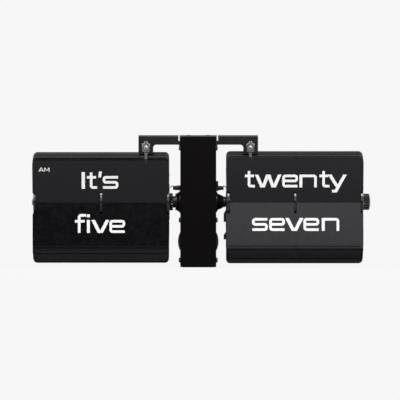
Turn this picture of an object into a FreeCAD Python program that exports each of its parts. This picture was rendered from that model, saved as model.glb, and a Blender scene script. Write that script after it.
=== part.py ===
import FreeCAD, Part
import math
import os
import re

# Flip clock with one column, an hour drum on the left and a minute drum on the right.
# Frame: X to the right, Y away from the viewer, Z up. The origin lies on the standing plane,
# straight under the common axis of both drums, on the centre plane of the column.

doc = FreeCAD.newDocument("flip_clock")
sheet = doc.addObject("Spreadsheet::Sheet", "size")

SIZES = (
    ("drum_axis_height", 69.3),
    ("drum_inner_end", 30.7),
    ("flap_width", 144.0),
    ("flap_pin_radius", 18.4),
    ("flap_sheet", 0.25),
    ("flap_chamfer", 2.8),
    ("flap_notch_depth", 11.0),
    ("flap_lie_angle", 80.0),
    ("flap_settle_angle", 4.7),
    ("flap_settle_span", 30.0),
    ("minute_flap_reach", 45.8),
    ("minute_flap_lip", 0.45),
    ("minute_flap_count", 60),
    ("minute_front_angle", 1.0),
    ("hour_flap_reach", 45.0),
    ("hour_flap_lip", 0.9),
    ("hour_flap_count", 24),
    ("hour_front_angle", -1.5),
    ("disc_width", 2.5),
    ("disc_rim", 1.5),
    ("side_gap", 0.3),
    ("running_gap", 0.05),
    ("spindle_radius", 2.0),
    ("spindle_core_flats", 12.0),
    ("round_sides", 36),
    ("end_head_flats", 6.0),
    ("end_head_high", 2.3),
    ("cover_width", 38.0),
    ("cover_step", 1.7),
    ("cover_foot", 0.3),
    ("cover_front", 25.7),
    ("cover_sheet", 1.2),
    ("cover_bend", 2.2),
    ("cover_flange", 10.0),
    ("bracket_sheet", 1.5),
    ("bracket_rise", 70.4),
    ("bracket_bend", 2.0),
    ("arm_reach", 63.2),
    ("arm_face", 10.1),
    ("arm_flange", 9.0),
    ("ear_width", 15.6),
    ("ear_drop", 19.8),
    ("ear_fillet", 3.2),
    ("arm_fillet", 2.6),
    ("tongue_inset", 1.8),
    ("tongue_drop", 33.7),
    ("slit_place", 20.3),
    ("slit_width", 1.3),
    ("slit_drop", 5.9),
    ("tab_depth", 34.0),
    ("claw_place", 55.2),
    ("claw_rise", 56.7),
    ("claw_plate", 8.4),
    ("claw_sheet", 0.5),
    ("claw_crown", 7.2),
    ("claw_knee", 1.5),
    ("claw_tongue_root", 3.6),
    ("claw_tongue_tip", 1.6),
    ("claw_hook", 3.3),
    ("case_width", 35.0),
    ("case_rear", 59.0),
    ("case_wall", 1.8),
    ("case_corner", 3.0),
    ("pad_high", 2.0),
    ("pad_inset", 1.0),
    ("barrel_height", 27.3),
    ("barrel_radius", 21.5),
    ("cell_radius", 17.1),
    ("cell_length", 60.0),
    ("cell_nub", 1.5),
    ("cell_nub_radius", 4.7),
    ("cell_rear", 51.0),
    ("cell_gap", 0.5),
    ("cap_plug_radius", 18.3),
    ("cap_plug_depth", 5.0),
    ("cap_flange", 1.5),
    ("cap_flange_radius", 20.4),
    ("cap_slot_width", 2.6),
    ("cap_slot_length", 17.0),
    ("contact_sheet", 0.6),
    ("contact_width", 12.0),
    ("hanger_sheet", 1.5),
    ("hanger_width", 26.0),
    ("hanger_corner", 2.0),
    ("hanger_high_drop", 7.7),
    ("hanger_low_drop", 39.7),
    ("keyhole_drop", 27.7),
    ("keyhole_radius", 4.2),
    ("keyslot_width", 4.2),
    ("keyslot_rise", 9.0),
    ("hour_boss_radius", 11.8),
    ("hour_boss_shoulder", 10.4),
    ("hour_boss_small", 9.2),
    ("hour_neck_radius", 6.2),
    ("hour_neck_length", 2.5),
    ("minute_boss_radius", 11.0),
    ("minute_boss_shoulder", 8.9),
    ("minute_boss_small", 5.9),
    ("minute_neck_radius", 5.2),
    ("minute_neck_length", 1.6),
    ("boss_plate", 2.8),
    ("hour_boss_end", 26.9),
    ("minute_boss_end", 29.9),
    ("minute_knob_radius", 8.8),
    ("minute_knob_width", 8.3),
    ("hour_knob_radius", 9.25),
    ("knob_ribs", 18),
    ("knob_rib_depth", 1.0),
    ("click_post_radius", 2.6),
    ("click_back", 8.0),
    ("click_rise", 15.3),
    ("click_post_end", 25.7),
    ("click_base_out", 3.7),
    ("click_base_half_depth", 3.2),
    ("minute_click_base_rise", 7.2),
    ("hour_click_base_rise", 2.6),
    ("click_wire_radius", 0.4),
    ("click_wire_lift", 1.0),
    ("guide_sheet", 0.5),
    ("guide_half_width", 4.0),
    ("guide_drop", 40.0),
    ("guide_tab_out", 2.9),
    ("guide_upper_tab_top", 7.8),
    ("guide_upper_tab_foot", 21.4),
    ("guide_lower_tab_top", 30.9),
    ("gear_distance", 17.0),
    ("pinion_teeth", 8),
    ("first_wheel_teeth", 32),
    ("hour_wheel_teeth", 48),
    ("layshaft_angle", 60.0),
    ("motor_angle", 20.0),
    ("gear_width", 2.0),
    ("pinion_width", 4.0),
    ("first_wheel_place", 6.0),
    ("hour_wheel_place", 10.0),
    ("axle_radius", 1.0),
    ("axle_half", 14.9),
    ("axle_boss_half", 2.2),
    ("axle_boss_end", 13.0),
    ("cluster_hub_radius", 1.7),
    ("gear_plate_sheet", 4.0),
    ("gear_plate_front", 20.9),
    ("gear_plate_back", 15.4),
    ("gear_plate_step", 13.6),
    ("gear_plate_lift", 0.5),
    ("gear_plate_step_drop", 3.3),
    ("gear_plate_rise", 31.7),
    ("post_width", 6.0),
    ("post_front", 17.0),
    ("post_back", 11.6),
    ("post_low_drop", 12.3),
    ("post_high_rise", 27.7),
    ("post_rear_drop", 16.3),
    ("motor_radius", 10.5),
    ("board_place", 9.4),
    ("board_sheet", 1.6),
    ("board_front", 31.0),
    ("board_back", 55.0),
    ("board_lift", 8.2),
    ("board_rise", 29.7),
    ("board_post_half", 2.0),
    ("board_post_inset", 5.0),
)

# Heights that follow the drum axis, the top of the bracket or the top of the barrel.
HEIGHTS = {
    "bracket_top": "(drum_axis_height + bracket_rise)",
    "cover_top": "(bracket_top - cover_step)",
    "tongue_foot": "(bracket_top - tongue_drop)",
    "claw_height": "(drum_axis_height + claw_rise)",
    "hanger_low": "(bracket_top - hanger_low_drop)",
    "hanger_high": "(bracket_top - hanger_high_drop)",
    "keyhole_height": "(bracket_top - keyhole_drop)",
    "click_height": "(drum_axis_height + click_rise)",
    "barrel_top": "(barrel_height + barrel_radius)",
    "gear_plate_low": "(barrel_top + gear_plate_lift)",
    "gear_plate_step_high": "(drum_axis_height - gear_plate_step_drop)",
    "gear_plate_high": "(drum_axis_height + gear_plate_rise)",
    "post_low": "(drum_axis_height - post_low_drop)",
    "post_high": "(drum_axis_height + post_high_rise)",
    "post_rear_height": "(drum_axis_height - post_rear_drop)",
    "board_low": "(barrel_top + board_lift)",
    "board_high": "(drum_axis_height + board_rise)",
}

# Shares of the tooth pitch and of the module that shape a short tooth with easy flanks.
PINION_TOOTH = {"above": 0.9, "below": 1.15, "root": 0.58, "tip": 0.22}
WHEEL_TOOTH = {"above": 0.7, "below": 1.2, "root": 0.50, "tip": 0.22}


def fill_sheet():
    for row, (alias, number) in enumerate(SIZES, start=1):
        sheet.set(f"A{row}", alias)
        sheet.set(f"B{row}", str(number))
        sheet.setAlias(f"B{row}", alias)
    doc.recompute()


ALIASES = {alias for alias, number in SIZES}


def tied(formula):
    """Give each size in a formula its full name in the sheet, and spell out each height."""
    return re.sub(r"[a-z_]+", full_name, str(formula))


def full_name(word):
    name = word[0]
    if name in HEIGHTS:
        return tied(HEIGHTS[name])
    return "size." + name if name in ALIASES else name


def value(formula):
    """Work out a formula of sizes as a number."""
    return float(sheet.evalExpression(tied(formula)))


def bind(thing, path, formula):
    thing.setExpression(path, tied(formula))


def ordered(first, second):
    return (first, second) if value(first) <= value(second) else (second, first)


# Sketches

def new_body(name):
    body = doc.addObject("PartDesign::Body", name)
    body.Label = name
    return body


def origin_part(body, role):
    return [feature for feature in body.Origin.OriginFeatures if feature.Role == role][0]


def plane_sketch(body, name, plane, offset, turn=0.0):
    sketch = body.newObject("Sketcher::SketchObject", name)
    sketch.AttachmentSupport = [(origin_part(body, plane + "_Plane"), "")]
    sketch.MapMode = "FlatFace"
    sketch.AttachmentOffset = FreeCAD.Placement(
        FreeCAD.Vector(0, 0, value(offset)), FreeCAD.Rotation(FreeCAD.Vector(0, 0, 1), turn))
    bind(sketch, "AttachmentOffset.Base.z", offset)
    return sketch


def hold(sketch, kind, geometry, point, formula):
    """Tie one coordinate of a sketch point to a formula."""
    if str(formula) == "0":
        axis = -2 if kind == "DistanceX" else -1
        sketch.addConstraint(constraint("PointOnObject", geometry, point, axis))
        return
    index = sketch.addConstraint(constraint(kind, -1, 1, geometry, point, value(formula)))
    bind(sketch, f"Constraints[{index}]", formula)


def constraint(*terms):
    import Sketcher
    return Sketcher.Constraint(*terms)


def draw_outline(sketch, corners):
    """Closed outline through corners (x, y) or (x, y, radius), each a formula; a radius rounds
    a corner between one upright and one level edge."""
    count = len(corners)
    places = [FreeCAD.Vector(value(corner[0]), value(corner[1]), 0) for corner in corners]
    radii = [value(corner[2]) if len(corner) > 2 else 0.0 for corner in corners]
    starts, ends = [], []
    for index in range(count):
        here, there = places[index], places[(index + 1) % count]
        along = (there - here).normalize()
        starts.append(here + along * radii[index])
        ends.append(there - along * radii[(index + 1) % count])
    lines = [sketch.addGeometry(Part.LineSegment(starts[index], ends[index]), False)
             for index in range(count)]
    fixed_x, fixed_y = {}, {}
    for index, line in enumerate(lines):
        here, there = corners[index], corners[(index + 1) % count]
        if str(here[0]) == str(there[0]):
            sketch.addConstraint(constraint("Vertical", line))
            hold(sketch, "DistanceX", line, 1, here[0])
            fixed_x[index] = fixed_x[(index + 1) % count] = True
        elif str(here[1]) == str(there[1]):
            sketch.addConstraint(constraint("Horizontal", line))
            hold(sketch, "DistanceY", line, 1, here[1])
            fixed_y[index] = fixed_y[(index + 1) % count] = True
    for index in range(count):
        before, after = lines[index - 1], lines[index]
        if radii[index]:
            corner = places[index]
            centre = starts[index] + ends[index - 1] - corner
            arc = rounded_corner(sketch, centre, ends[index - 1], starts[index], radii[index])
            first, last = arc_ends(sketch, arc, ends[index - 1])
            sketch.addConstraint(constraint("Tangent", before, 2, arc, first))
            sketch.addConstraint(constraint("Tangent", arc, last, after, 1))
            number = sketch.addConstraint(constraint("Radius", arc, radii[index]))
            bind(sketch, f"Constraints[{number}]", corners[index][2])
            continue
        sketch.addConstraint(constraint("Coincident", before, 2, after, 1))
        if index not in fixed_x:
            hold(sketch, "DistanceX", after, 1, corners[index][0])
        if index not in fixed_y:
            hold(sketch, "DistanceY", after, 1, corners[index][1])


def rounded_corner(sketch, centre, begin, finish, radius):
    start = math.atan2(begin.y - centre.y, begin.x - centre.x)
    stop = math.atan2(finish.y - centre.y, finish.x - centre.x)
    if (stop - start) % (2 * math.pi) > math.pi:
        start, stop = stop, start
    circle = Part.Circle(centre, FreeCAD.Vector(0, 0, 1), radius)
    return sketch.addGeometry(Part.ArcOfCircle(circle, start, stop), False)


def arc_ends(sketch, arc, begin):
    nearer = sketch.getPoint(arc, 1).distanceToPoint(begin) < sketch.getPoint(arc, 2).distanceToPoint(begin)
    return (1, 2) if nearer else (2, 1)


def draw_circle(sketch, x, y, radius):
    centre = FreeCAD.Vector(value(x), value(y), 0)
    circle = sketch.addGeometry(Part.Circle(centre, FreeCAD.Vector(0, 0, 1), value(radius)), False)
    hold(sketch, "DistanceX", circle, 3, x)
    hold(sketch, "DistanceY", circle, 3, y)
    index = sketch.addConstraint(constraint("Radius", circle, value(radius)))
    bind(sketch, f"Constraints[{index}]", radius)


# Solid features: each runs between two places along the axis that its plane faces.

def sweep_feature(kind, body, name, plane, span, outlines, circles, turn):
    low, high = ordered(*span)
    forward = plane != "XZ"
    adding = kind == "PartDesign::Pad"
    start = (low if adding else high) if forward else f"-1 * ({high if adding else low})"
    sketch = plane_sketch(body, name + "_sketch", plane, start, turn)
    for outline in outlines:
        draw_outline(sketch, outline)
    for circle in circles:
        draw_circle(sketch, *circle)
    feature = body.newObject(kind, name)
    feature.Profile = sketch
    bind(feature, "Length", f"({high}) - ({low})")
    body.Tip = feature
    return feature


def pad(body, name, plane, span, outlines=(), circles=(), turn=0.0):
    return sweep_feature("PartDesign::Pad", body, name, plane, span, outlines, circles, turn)


def pocket(body, name, plane, span, outlines=(), circles=(), turn=0.0):
    return sweep_feature("PartDesign::Pocket", body, name, plane, span, outlines, circles, turn)


def around(body, name, feature, count, axis="X_Axis"):
    pattern = body.newObject("PartDesign::PolarPattern", name)
    pattern.Originals = [feature]
    pattern.Axis = (origin_part(body, axis), [""])
    pattern.Angle = 360
    bind(pattern, "Occurrences", count)
    body.Tip = pattern
    return pattern


def round_edges(body, name, chosen, radius, kind="PartDesign::Fillet"):
    """Fillet or chamfer the edges of the newest feature that a test on an edge picks."""
    doc.recompute()
    base = body.Tip
    names = [f"Edge{number}" for number, edge in enumerate(base.Shape.Edges, start=1) if chosen(edge)]
    feature = body.newObject(kind, name)
    feature.Base = (base, names)
    bind(feature, "Radius" if kind.endswith("Fillet") else "Size", radius)
    body.Tip = feature
    return feature


def runs_along(edge, direction):
    ends = edge.Vertexes
    if len(ends) < 2 or edge.Curve.TypeId != "Part::GeomLine":
        return False
    along = (ends[1].Point - ends[0].Point).normalize()
    return abs(abs(along.dot(direction)) - 1) < 1e-6


def near(first, second):
    return abs(first - second) < 1e-4


# Primitives

def block(name, low, high):
    box = doc.addObject("Part::Box", name)
    for side, axis, index in (("Length", "x", 0), ("Width", "y", 1), ("Height", "z", 2)):
        bind(box, side, f"({high[index]}) - ({low[index]})")
        bind(box, f"Placement.Base.{axis}", low[index])
    return box


TURNS = {"X": FreeCAD.Rotation(FreeCAD.Vector(0, 1, 0), 90),
         "Y": FreeCAD.Rotation(FreeCAD.Vector(1, 0, 0), -90),
         "Z": FreeCAD.Rotation()}


def round_bar(name, axis, radius, centre, span):
    """Cylinder along an axis; centre holds the two other coordinates, in X, Y, Z order."""
    bar = doc.addObject("Part::Cylinder", name)
    low, high = ordered(*span)
    bar.Placement = FreeCAD.Placement(FreeCAD.Vector(), TURNS[axis])
    bind(bar, "Radius", radius)
    bind(bar, "Height", f"({high}) - ({low})")
    place = dict(zip([letter for letter in "xyz" if letter != axis.lower()], centre))
    place[axis.lower()] = low
    for letter, formula in place.items():
        bind(bar, f"Placement.Base.{letter}", formula)
    return bar


def prism(name, sides, circumradius, centre, span, axis="X"):
    """Bar along an axis whose section is a regular polygon."""
    bar = doc.addObject("Part::Prism", name)
    low, high = ordered(*span)
    bar.Placement = FreeCAD.Placement(FreeCAD.Vector(), TURNS[axis])
    bind(bar, "Polygon", sides)
    bind(bar, "Circumradius", circumradius)
    bind(bar, "Height", f"({high}) - ({low})")
    place = dict(zip([letter for letter in "xyz" if letter != axis.lower()], centre))
    place[axis.lower()] = low
    for letter, formula in place.items():
        bind(bar, f"Placement.Base.{letter}", formula)
    return bar


def taper(name, ends):
    """Tapered bar with plane sides along the X axis at the drum axis; ends hold (place, radius)."""
    count = int(value("round_sides"))
    height = value(axis_z)
    rings = []
    for place, radius in ends:
        reach = value(radius)
        turns = [2 * math.pi * number / count for number in range(count)]
        rings.append([FreeCAD.Vector(value(place), reach * math.sin(turn), height - reach * math.cos(turn))
                      for turn in turns])
    near_ring, far_ring = rings
    faces = [Part.Face(Part.makePolygon(ring + ring[:1])) for ring in rings]
    for number in range(count):
        after = (number + 1) % count
        corners = [near_ring[number], near_ring[after], far_ring[after], far_ring[number], near_ring[number]]
        faces.append(Part.Face(Part.makePolygon(corners)))
    solid = Part.Solid(Part.Shell(faces))
    if solid.Volume < 0:
        solid.reverse()
    bar = doc.addObject("Part::Feature", name)
    bar.Shape = solid
    return bar


def joined(name, *pieces):
    union = doc.addObject("Part::MultiFuse", name)
    union.Shapes = list(pieces)
    union.Refine = True
    return union


def grouped(name, *pieces):
    group = doc.addObject("Part::Compound", name)
    group.Links = list(pieces)
    return group


def less(name, base, *tools):
    tool = tools[0] if len(tools) == 1 else joined(name + "_tools", *tools)
    cut = doc.addObject("Part::Cut", name)
    cut.Base = base
    cut.Tool = tool
    cut.Refine = True
    return cut


parts = []


def keep(piece, name=None):
    """Hand a finished piece over as one node."""
    if name:
        piece.Label = name
    parts.append(piece)
    return piece


fill_sheet()

axis_z = "drum_axis_height"
right, left = "1", "-1"


def at(side, formula):
    """Mirror a place on the right-hand side to the side of a drum."""
    return f"({formula})" if side == right else f"-1 * ({formula})"


# Column cover: a tray of sheet steel, open behind, above and below

def make_column_cover():
    body = new_body("column_cover")
    half = "cover_width / 2"
    inner = "(cover_width / 2 - cover_sheet)"
    front = "-1 * cover_front"
    face = "(cover_sheet - cover_front)"
    rear = "(cover_flange - cover_front)"
    outer_bend = "cover_bend"
    inner_bend = "cover_bend - cover_sheet"
    pad(body, "cover_channel", "XY", ("cover_foot", "cover_top"), [[
        (f"-1 * {half}", rear), (f"-1 * {half}", front, outer_bend), (half, front, outer_bend),
        (half, rear), (inner, rear), (inner, face, inner_bend),
        (f"-1 * {inner}", face, inner_bend), (f"-1 * {inner}", rear)]])
    arm_low = "bracket_top - arm_face - arm_fillet - running_gap - side_gap"
    arm_face = f"({face} - running_gap)"
    pocket(body, "cover_arm_ways", "YZ", (f"-1 * {half} - 1", f"{half} + 1"), [[
        (arm_face, arm_low), (f"{rear} + 1", arm_low), (f"{rear} + 1", "cover_top + 1"),
        (arm_face, "cover_top + 1")]])
    return body


# Top bracket: one blank of sheet steel, bent back along its top edge

def make_top_bracket():
    body = new_body("top_bracket")
    face = "(cover_sheet - cover_front)"
    behind = f"({face} + bracket_sheet)"
    top = "bracket_top"
    face_low = "(bracket_top - arm_face)"
    ear_low = "(bracket_top - ear_drop)"
    ear_inner = "(arm_reach - ear_width)"
    slit_in = "(slit_place - slit_width / 2)"
    slit_out = "(slit_place + slit_width / 2)"
    slit_low = "(bracket_top - slit_drop)"
    tongue = "(cover_width / 2 - cover_sheet - tongue_inset)"
    shoulder = f"({face_low} - arm_fillet - running_gap)"
    half = [("arm_reach", top), ("arm_reach", ear_low), (ear_inner, ear_low),
            (ear_inner, face_low, "ear_fillet"), ("cover_width / 2", face_low, "arm_fillet"),
            ("cover_width / 2", shoulder), (tongue, shoulder), (tongue, "tongue_foot")]
    mirrored = [(f"-1 * {corner[0]}",) + corner[1:] for corner in reversed(half)]
    slit = [(slit_in, top), (slit_in, slit_low), (slit_out, slit_low), (slit_out, top)]
    slit_left = [(f"-1 * {corner[0]}", corner[1]) for corner in reversed(slit)]
    pad(body, "bracket_face", "XZ", (face, behind), [half + mirrored + slit_left + slit])
    flange_low = f"({top} - bracket_sheet)"
    for side, name in ((right, "right"), (left, "left")):
        low, high = ordered(at(side, slit_out), at(side, "arm_reach"))
        pad(body, f"bracket_flange_{name}", "XZ", (face, f"{face} + arm_flange"), [[
            (low, flange_low), (high, flange_low), (high, top), (low, top)]])
    pad(body, "bracket_tab", "XZ", (face, f"{face} + tab_depth"), [[
        (f"-1 * {slit_in}", flange_low), (slit_in, flange_low), (slit_in, top),
        (f"-1 * {slit_in}", top)]])
    front = value(face)
    high = value(top)
    level = FreeCAD.Vector(1, 0, 0)
    round_edges(body, "bracket_bend_line", lambda edge: runs_along(edge, level)
                and near(edge.CenterOfMass.y, front) and near(edge.CenterOfMass.z, high), "bracket_bend")
    return body


# Case: two hollow halves that meet on the centre plane, with the barrel for the cell

def make_case_half(side, name):
    body = new_body(name)
    half = at(side, "case_width / 2")
    skin = at(side, "case_width / 2 - case_wall")
    front = "(cover_sheet - cover_front + bracket_sheet)"
    low, high = "pad_high", "(bracket_top - bracket_sheet)"
    pad(body, name + "_block", "YZ", ("0", half), [[
        (front, low), ("case_rear", low, "case_corner"), ("case_rear", high, "case_corner"),
        (front, high)]])
    contact_face = positive_contact_face()
    pad(body, name + "_barrel", "XZ", (f"{contact_face} - case_wall", "case_rear"), (),
        [("0", "barrel_height", "barrel_radius")])
    pocket(body, name + "_room", "YZ", ("0", skin), [[
        (f"{front} + case_wall", "barrel_height"), ("case_rear - case_wall", "barrel_height"),
        ("case_rear - case_wall", f"{high} - case_wall"), (f"{front} + case_wall", f"{high} - case_wall")]])
    pad(body, name + "_barrel_roof", "XZ", (f"{contact_face} - case_wall", "case_rear - case_wall"), [[
        ("0", "barrel_height"), (skin, "barrel_height"), (skin, "barrel_top"),
        ("0", "barrel_top")]])
    pocket(body, name + "_bore", "XZ", (contact_face, "case_rear - cap_plug_depth"), (),
           [("0", "barrel_height", "cell_radius + cell_gap")])
    pocket(body, name + "_cap_way", "XZ", ("case_rear - cap_plug_depth - side_gap", "case_rear + 1"), (),
           [("0", "barrel_height", "cap_plug_radius + side_gap")])
    other = at(side, "0 - barrel_radius - 5")
    pocket(body, name + "_split", "YZ", ("0", other), [[
        ("-100", "-10"), ("100", "-10"), ("100", "200"), ("-100", "200")]])
    plate = at(side, "gear_plate_sheet / 2")
    edge = "post_width / 2"
    for number, (y, z) in enumerate(gear_post_places(), start=1):
        pad(body, f"{name}_post_{number}", "YZ", (plate, skin), [square_about(y, z, edge)])
    lay_y, lay_z = layshaft_place()
    boss = at(side, "axle_boss_end")
    pad(body, name + "_axle_boss", "YZ", (boss, skin), [square_about(lay_y, lay_z, "axle_boss_half")])
    pocket(body, name + "_axle_hole", "YZ", (at(side, "axle_boss_end - 1"), at(side, "axle_half")), (),
           [(lay_y, lay_z, "axle_radius + running_gap")])
    if side == right:
        for number, (y, z) in enumerate(board_post_places(), start=1):
            pad(body, f"{name}_board_post_{number}", "YZ", (at(side, "board_place + board_sheet"), skin),
                [square_about(y, z, "board_post_half")])
    pocket(body, name + "_spindle_way", "YZ", (skin, at(side, "barrel_radius + 5")), (),
           [("0", axis_z, "spindle_radius + side_gap")])
    pocket(body, name + "_hook_window", "XZ", ("case_rear - case_wall", "case_rear + 1"), [[
        ("0", "keyhole_height - keyhole_radius - 1.5"),
        (at(side, "keyhole_radius + 1.5"), "keyhole_height - keyhole_radius - 1.5"),
        (at(side, "keyhole_radius + 1.5"), "keyhole_height + keyslot_rise + 3"),
        ("0", "keyhole_height + keyslot_rise + 3")]])
    return body


def positive_contact_face():
    return "(cell_rear - cell_length - cell_nub - side_gap - contact_sheet)"


def square_about(y, z, half):
    return [(f"{y} - {half}", f"{z} - {half}"), (f"{y} + {half}", f"{z} - {half}"),
            (f"{y} + {half}", f"{z} + {half}"), (f"{y} - {half}", f"{z} + {half}")]


def gear_post_places():
    return [("(0 - post_front)", "post_low"), ("(0 - post_front)", "post_high"), ("post_back", "post_rear_height")]


def layshaft_place():
    return ("gear_distance * cos(layshaft_angle)", f"({axis_z} + gear_distance * sin(layshaft_angle))")


def motor_place():
    lay_y, lay_z = layshaft_place()
    return (f"({lay_y} + gear_distance * cos(motor_angle))", f"({lay_z} + gear_distance * sin(motor_angle))")


def board_post_places():
    return [("(board_front + board_post_inset)", "(board_low + board_post_inset)"),
            ("(board_back - board_post_inset)", "(board_high - board_post_inset)")]


def make_base_pad():
    front = "(cover_sheet - cover_front + bracket_sheet)"
    keep(block("base_pad", ("pad_inset - case_width / 2", f"{front} + pad_inset", "0"),
               ("case_width / 2 - pad_inset", "case_rear - pad_inset", "pad_high")), "base_pad")


def make_hanger():
    body = new_body("wall_hanger")
    half = "hanger_width / 2"
    low, high = "hanger_low", "hanger_high"
    cut = "hanger_corner"
    pad(body, "hanger_plate", "XZ", ("case_rear", "case_rear + hanger_sheet"), [[
        (f"{cut} - {half}", low), (f"{half} - {cut}", low), (half, f"{low} + {cut}"),
        (half, f"{high} - {cut}"), (f"{half} - {cut}", high), (f"{cut} - {half}", high),
        (f"0 - {half}", f"{high} - {cut}"), (f"0 - {half}", f"{low} + {cut}")]])
    span = ("case_rear - 1", "case_rear + hanger_sheet + 1")
    pocket(body, "hanger_hole", "XZ", span, (), [("0", "keyhole_height", "keyhole_radius")])
    rise = "keyhole_height + keyslot_rise"
    pocket(body, "hanger_slot", "XZ", span, [[
        ("0 - keyslot_width / 2", "keyhole_height"), ("keyslot_width / 2", "keyhole_height"),
        ("keyslot_width / 2", rise), ("keyslot_width / 4", f"{rise} + keyslot_width / 4"),
        ("0 - keyslot_width / 4", f"{rise} + keyslot_width / 4"), ("0 - keyslot_width / 2", rise)]])
    keep(body)


# Claws: a spring finger on each ear holds the top edge of the front flap

def make_claw(name, side, reach, crest):
    body = new_body(name)
    face = "(cover_sheet - cover_front)"
    plate = "claw_plate / 2"
    top = "claw_crown"
    tip = f"({crest} - claw_hook - claw_height)"
    body.Placement = FreeCAD.Placement()
    bind(body, "Placement.Base.x", at(side, "claw_place"))
    bind(body, "Placement.Base.z", "claw_height")
    pad(body, name + "_plate", "XZ", (f"{face} - claw_sheet", face), [[
        (f"-1 * {plate}", "-1 * claw_plate / 2"), (plate, "-1 * claw_plate / 2"), (plate, "claw_plate / 2"),
        ("claw_plate / 4", top), ("-1 * claw_plate / 4", top), (f"-1 * {plate}", "claw_plate / 2")]])
    root = "(0 - claw_plate / 2)"
    lean = f"({face} - claw_sheet)"
    out = f"(0 - {reach})"
    knee = f"({crest} + claw_knee - claw_height)"
    pad(body, name + "_tongue", "YZ", ("0 - claw_tongue_root / 2", "claw_tongue_root / 2"), [[
        (face, f"{root} + 1"), (lean, f"{root} + 1"), (lean, f"{root} - 0.2"),
        (f"{out} - claw_sheet", knee), (f"{out} - claw_sheet", tip), (out, tip), (out, f"{knee} - 0.3"),
        (face, f"{root} - 0.5")]])
    for hand, hand_name in ((1, "right"), (-1, "left")):
        pocket(body, f"{name}_taper_{hand_name}", "XZ", (f"{out} - claw_sheet - 2", f"{face} + 1"), [[
            (f"{hand} * claw_tongue_tip / 2", f"{tip} - 0.01"), (f"{hand} * (claw_tongue_root / 2 + 1)", f"{tip} - 0.01"),
            (f"{hand} * (claw_tongue_root / 2 + 1)", f"{root} - 0.01"), (f"{hand} * claw_tongue_root / 2", f"{root} - 0.01")]])
    return body


def flap_crest(name):
    """Front place and height of the top edge of the leaning front flap of a drum."""
    lean = f"({name}_front_angle + flap_lie_angle)"
    forward = (f"(flap_pin_radius * cos({name}_front_angle) + {name}_flap_reach * cos({lean})"
               " + flap_sheet / 2 + side_gap)")
    height = (f"(drum_axis_height + flap_pin_radius * sin({name}_front_angle)"
              f" + {name}_flap_reach * sin({lean}))")
    return forward, height


def make_claws():
    for name, side in (("minute", right), ("hour", left)):
        keep(make_claw(f"{name}_claw", side, *flap_crest(name)))


# Drum pieces are drawn about the X axis and lifted to the height of the drum axis.

def lifted(body):
    bind(body, "Placement.Base.z", axis_z)
    return body


def make_bearings():
    wall = "case_width / 2"
    for side, name in ((right, "minute"), (left, "hour")):
        step = f"({wall} + boss_plate)"
        end = f"{name}_boss_end"
        neck = f"({end} - {name}_neck_length)"
        plate = prism(f"{name}_boss_plate", "round_sides", f"{name}_boss_radius", ("0", axis_z),
                      (at(side, wall), at(side, step)))
        cone = taper(f"{name}_boss_cone",
                     [(at(side, step), f"{name}_boss_shoulder"), (at(side, neck), f"{name}_boss_small")])
        collar = prism(f"{name}_boss_neck", 18, f"{name}_neck_radius", ("0", axis_z),
                       (at(side, neck), at(side, end)))
        bore = round_bar(f"{name}_boss_bore", "X", "spindle_radius + running_gap", ("0", axis_z),
                         (at(side, f"{wall} - 1"), at(side, f"{end} + 1")))
        keep(less(f"{name}_bearing", joined(f"{name}_boss", plate, cone, collar), bore), f"{name}_bearing")


def disc_spans(side):
    outer = "(drum_inner_end + flap_width)"
    middle = "(drum_inner_end + flap_width / 2)"
    return [(at(side, "drum_inner_end"), at(side, "drum_inner_end + disc_width")),
            (at(side, f"{middle} - disc_width / 2"), at(side, f"{middle} + disc_width / 2")),
            (at(side, f"{outer} - disc_width"), at(side, outer))]


def make_drum(name, side):
    """Spindle with a hexagonal core that carries three equal discs."""
    inner, outer = at(side, "drum_inner_end"), at(side, "drum_inner_end + flap_width")
    core = prism(f"{name}_core", 6, "spindle_core_flats / 2 / cos(30)", ("0", axis_z), (inner, outer))
    reach = "minute_knob_width - 1" if side == right else "end_head_high"
    rod = round_bar(f"{name}_rod", "X", "spindle_radius", ("0", axis_z),
                    (at(side, "0.2"), at(side, f"drum_inner_end + flap_width + {reach}")))
    pieces = [core, rod]
    if side == left:
        pieces.append(prism("hour_end_head", 6, "end_head_flats / 2 / cos(30)", ("0", axis_z),
                            (outer, at(side, "drum_inner_end + flap_width + end_head_high"))))
    keep(joined(f"{name}_spindle", *pieces), f"{name}_spindle")
    discs = []
    for number, span in enumerate(disc_spans(side), start=1):
        plate = prism(f"{name}_disc_plate_{number}", "round_sides", "flap_pin_radius + disc_rim", ("0", axis_z), span)
        bore = prism(f"{name}_disc_bore_{number}", 6, "(spindle_core_flats / 2 + running_gap) / cos(30)",
                     ("0", axis_z), span)
        discs.append(less(f"{name}_disc_{number}", plate, bore))
    keep(grouped(f"{name}_discs", *discs), f"{name}_discs")


def make_knob(name, side, span):
    body = new_body(name)
    low, high = ordered(at(side, span[0]), at(side, span[1]))
    tip = f"{name}_radius"
    add_teeth(body, name, "knob_ribs", f"({tip} - knob_rib_depth)", tip, f"(0.72 * pi * {tip} / knob_ribs)",
              f"(0.5 * pi * {tip} / knob_ribs)", (low, high), "spindle_radius + running_gap")
    keep(lifted(body))


def make_drums():
    outer = "drum_inner_end + flap_width"
    make_drum("minute", right)
    make_drum("hour", left)
    make_knob("minute_knob", right, (outer, f"{outer} + minute_knob_width"))
    make_knob("hour_knob", left, ("hour_boss_end + side_gap", "drum_inner_end"))


# Click springs bear on the inner disc of each drum; the guide stands beside the minute flaps.

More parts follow.
